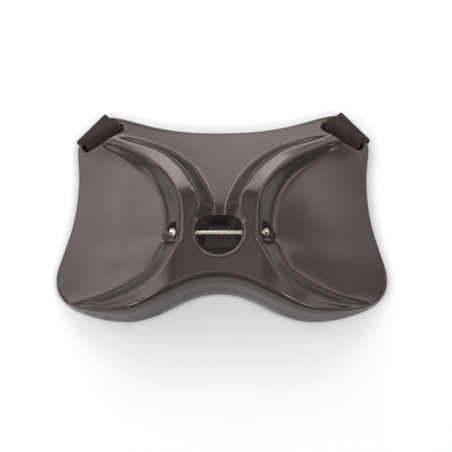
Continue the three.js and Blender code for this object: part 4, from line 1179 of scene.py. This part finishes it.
def make_camera():
    """The photograph's view, from in front of the lower edge and high above."""
    back = np.array([math.sin(VIEW_SIDE), -math.sin(VIEW_TILT) * math.cos(VIEW_SIDE),
                     math.cos(VIEW_TILT) * math.cos(VIEW_SIDE)])
    up = np.array([0, 1.0, 0]) - back[1] * back
    up /= np.linalg.norm(up)
    right = np.cross(up, back)
    up = up * math.cos(VIEW_ROLL) - right * math.sin(VIEW_ROLL)
    right = np.cross(up, back)
    eye = VIEW_TARGET + VIEW_DISTANCE * back
    data = bpy.data.cameras.new("camera")
    data.sensor_width = SENSOR
    data.lens = FOCAL_PIXELS * SENSOR / PICTURE_PIXELS
    bpy.context.scene.camera = hang("camera", data, right, up, back, eye)


# Square light panels hung round the plate: side, distance, and by panel the
# turn from the top edge (towards +X) and the lean from upright, in degrees,
# and the glow
PANEL_SIZE = 0.42
PANEL_DISTANCE = 1.6
PANELS = [
    (0, 12, 0.6), (180, 12, 1.2), (-120, 26, 6.4), (120, 26, 11.6), (-50, 38, 2.1), (50, 38, 1.4),
    (-75, 38, 1.5), (0, 50, 2.6), (40, 50, 2.4), (-60, 50, 2.0), (80, 50, 1.0), (-130, 50, 10.1),
    (130, 50, 9.4), (0, 62, 2.2), (-18, 62, 5.5), (18, 62, 5.9), (-36, 62, 5.4), (-55, 62, 2.0),
    (55, 62, 1.5), (-75, 62, 1.9), (75, 62, 2.2), (-30, 75, 1.0), (-60, 75, 1.1), (60, 75, 0.6),
    (-90, 75, 1.7), (-120, 75, 2.0),
]


def make_lights():
    """Hang the panels, each facing the plate's middle, against a dark surrounding."""
    for number, (turn, lean, glow) in enumerate(PANELS):
        data = bpy.data.lights.new(f"panel_{number}", "AREA")
        data.shape = "SQUARE"
        data.size = PANEL_SIZE
        data.energy = glow * math.pi * PANEL_SIZE ** 2
        turn, lean = math.radians(turn), math.radians(lean)
        back = np.array([math.sin(turn) * math.sin(lean), math.cos(turn) * math.sin(lean), math.cos(lean)])
        side = np.cross([0, 0, 1.0], back)
        side /= np.linalg.norm(side)
        hang(data.name, data, side, np.cross(back, side), back, back * PANEL_DISTANCE)
    world = bpy.data.worlds.new("studio")
    world.use_nodes = True
    world.node_tree.nodes["Background"].inputs["Strength"].default_value = 0
    bpy.context.scene.world = world
    bpy.context.scene.view_settings.view_transform = "Standard"


def make_floor():
    """Square of floor that the plate lies on."""
    corners = np.array([(-1, -1, 0), (1, -1, 0), (1, 1, 0), (-1, 1, 0)]) * FLOOR_SIZE / 2
    make_object("floor", corners + [0, FOOTPRINT_CENTRE_Y, 0], [(0, 1, 2, 3)], None, pale_floor())


plastic = moulded_plastic()
steel = bright_steel("bright_hardware_steel", (0.9, 0.8, 0.69, 1), (0.96, 0.88, 0.78, 1))
plated_steel = bright_steel("yellow_plated_steel", (0.66, 0.6, 0.42, 1), (0.78, 0.71, 0.52, 1))
webbing = strap_webbing()
clasp_plastic = clasp_finish()

make_camera()
make_lights()
make_floor()
make_plate()
make_bolt()
make_washer()
make_nut()
make_strap(1, "strap_over_right_corner", "strap_right")
make_strap(-1, "strap_over_left_corner", "strap_left")
make_clasp_half("clasp_socket_rounded", "clasp_socket")
make_clasp_half("clasp_plug_rounded", "clasp_plug")
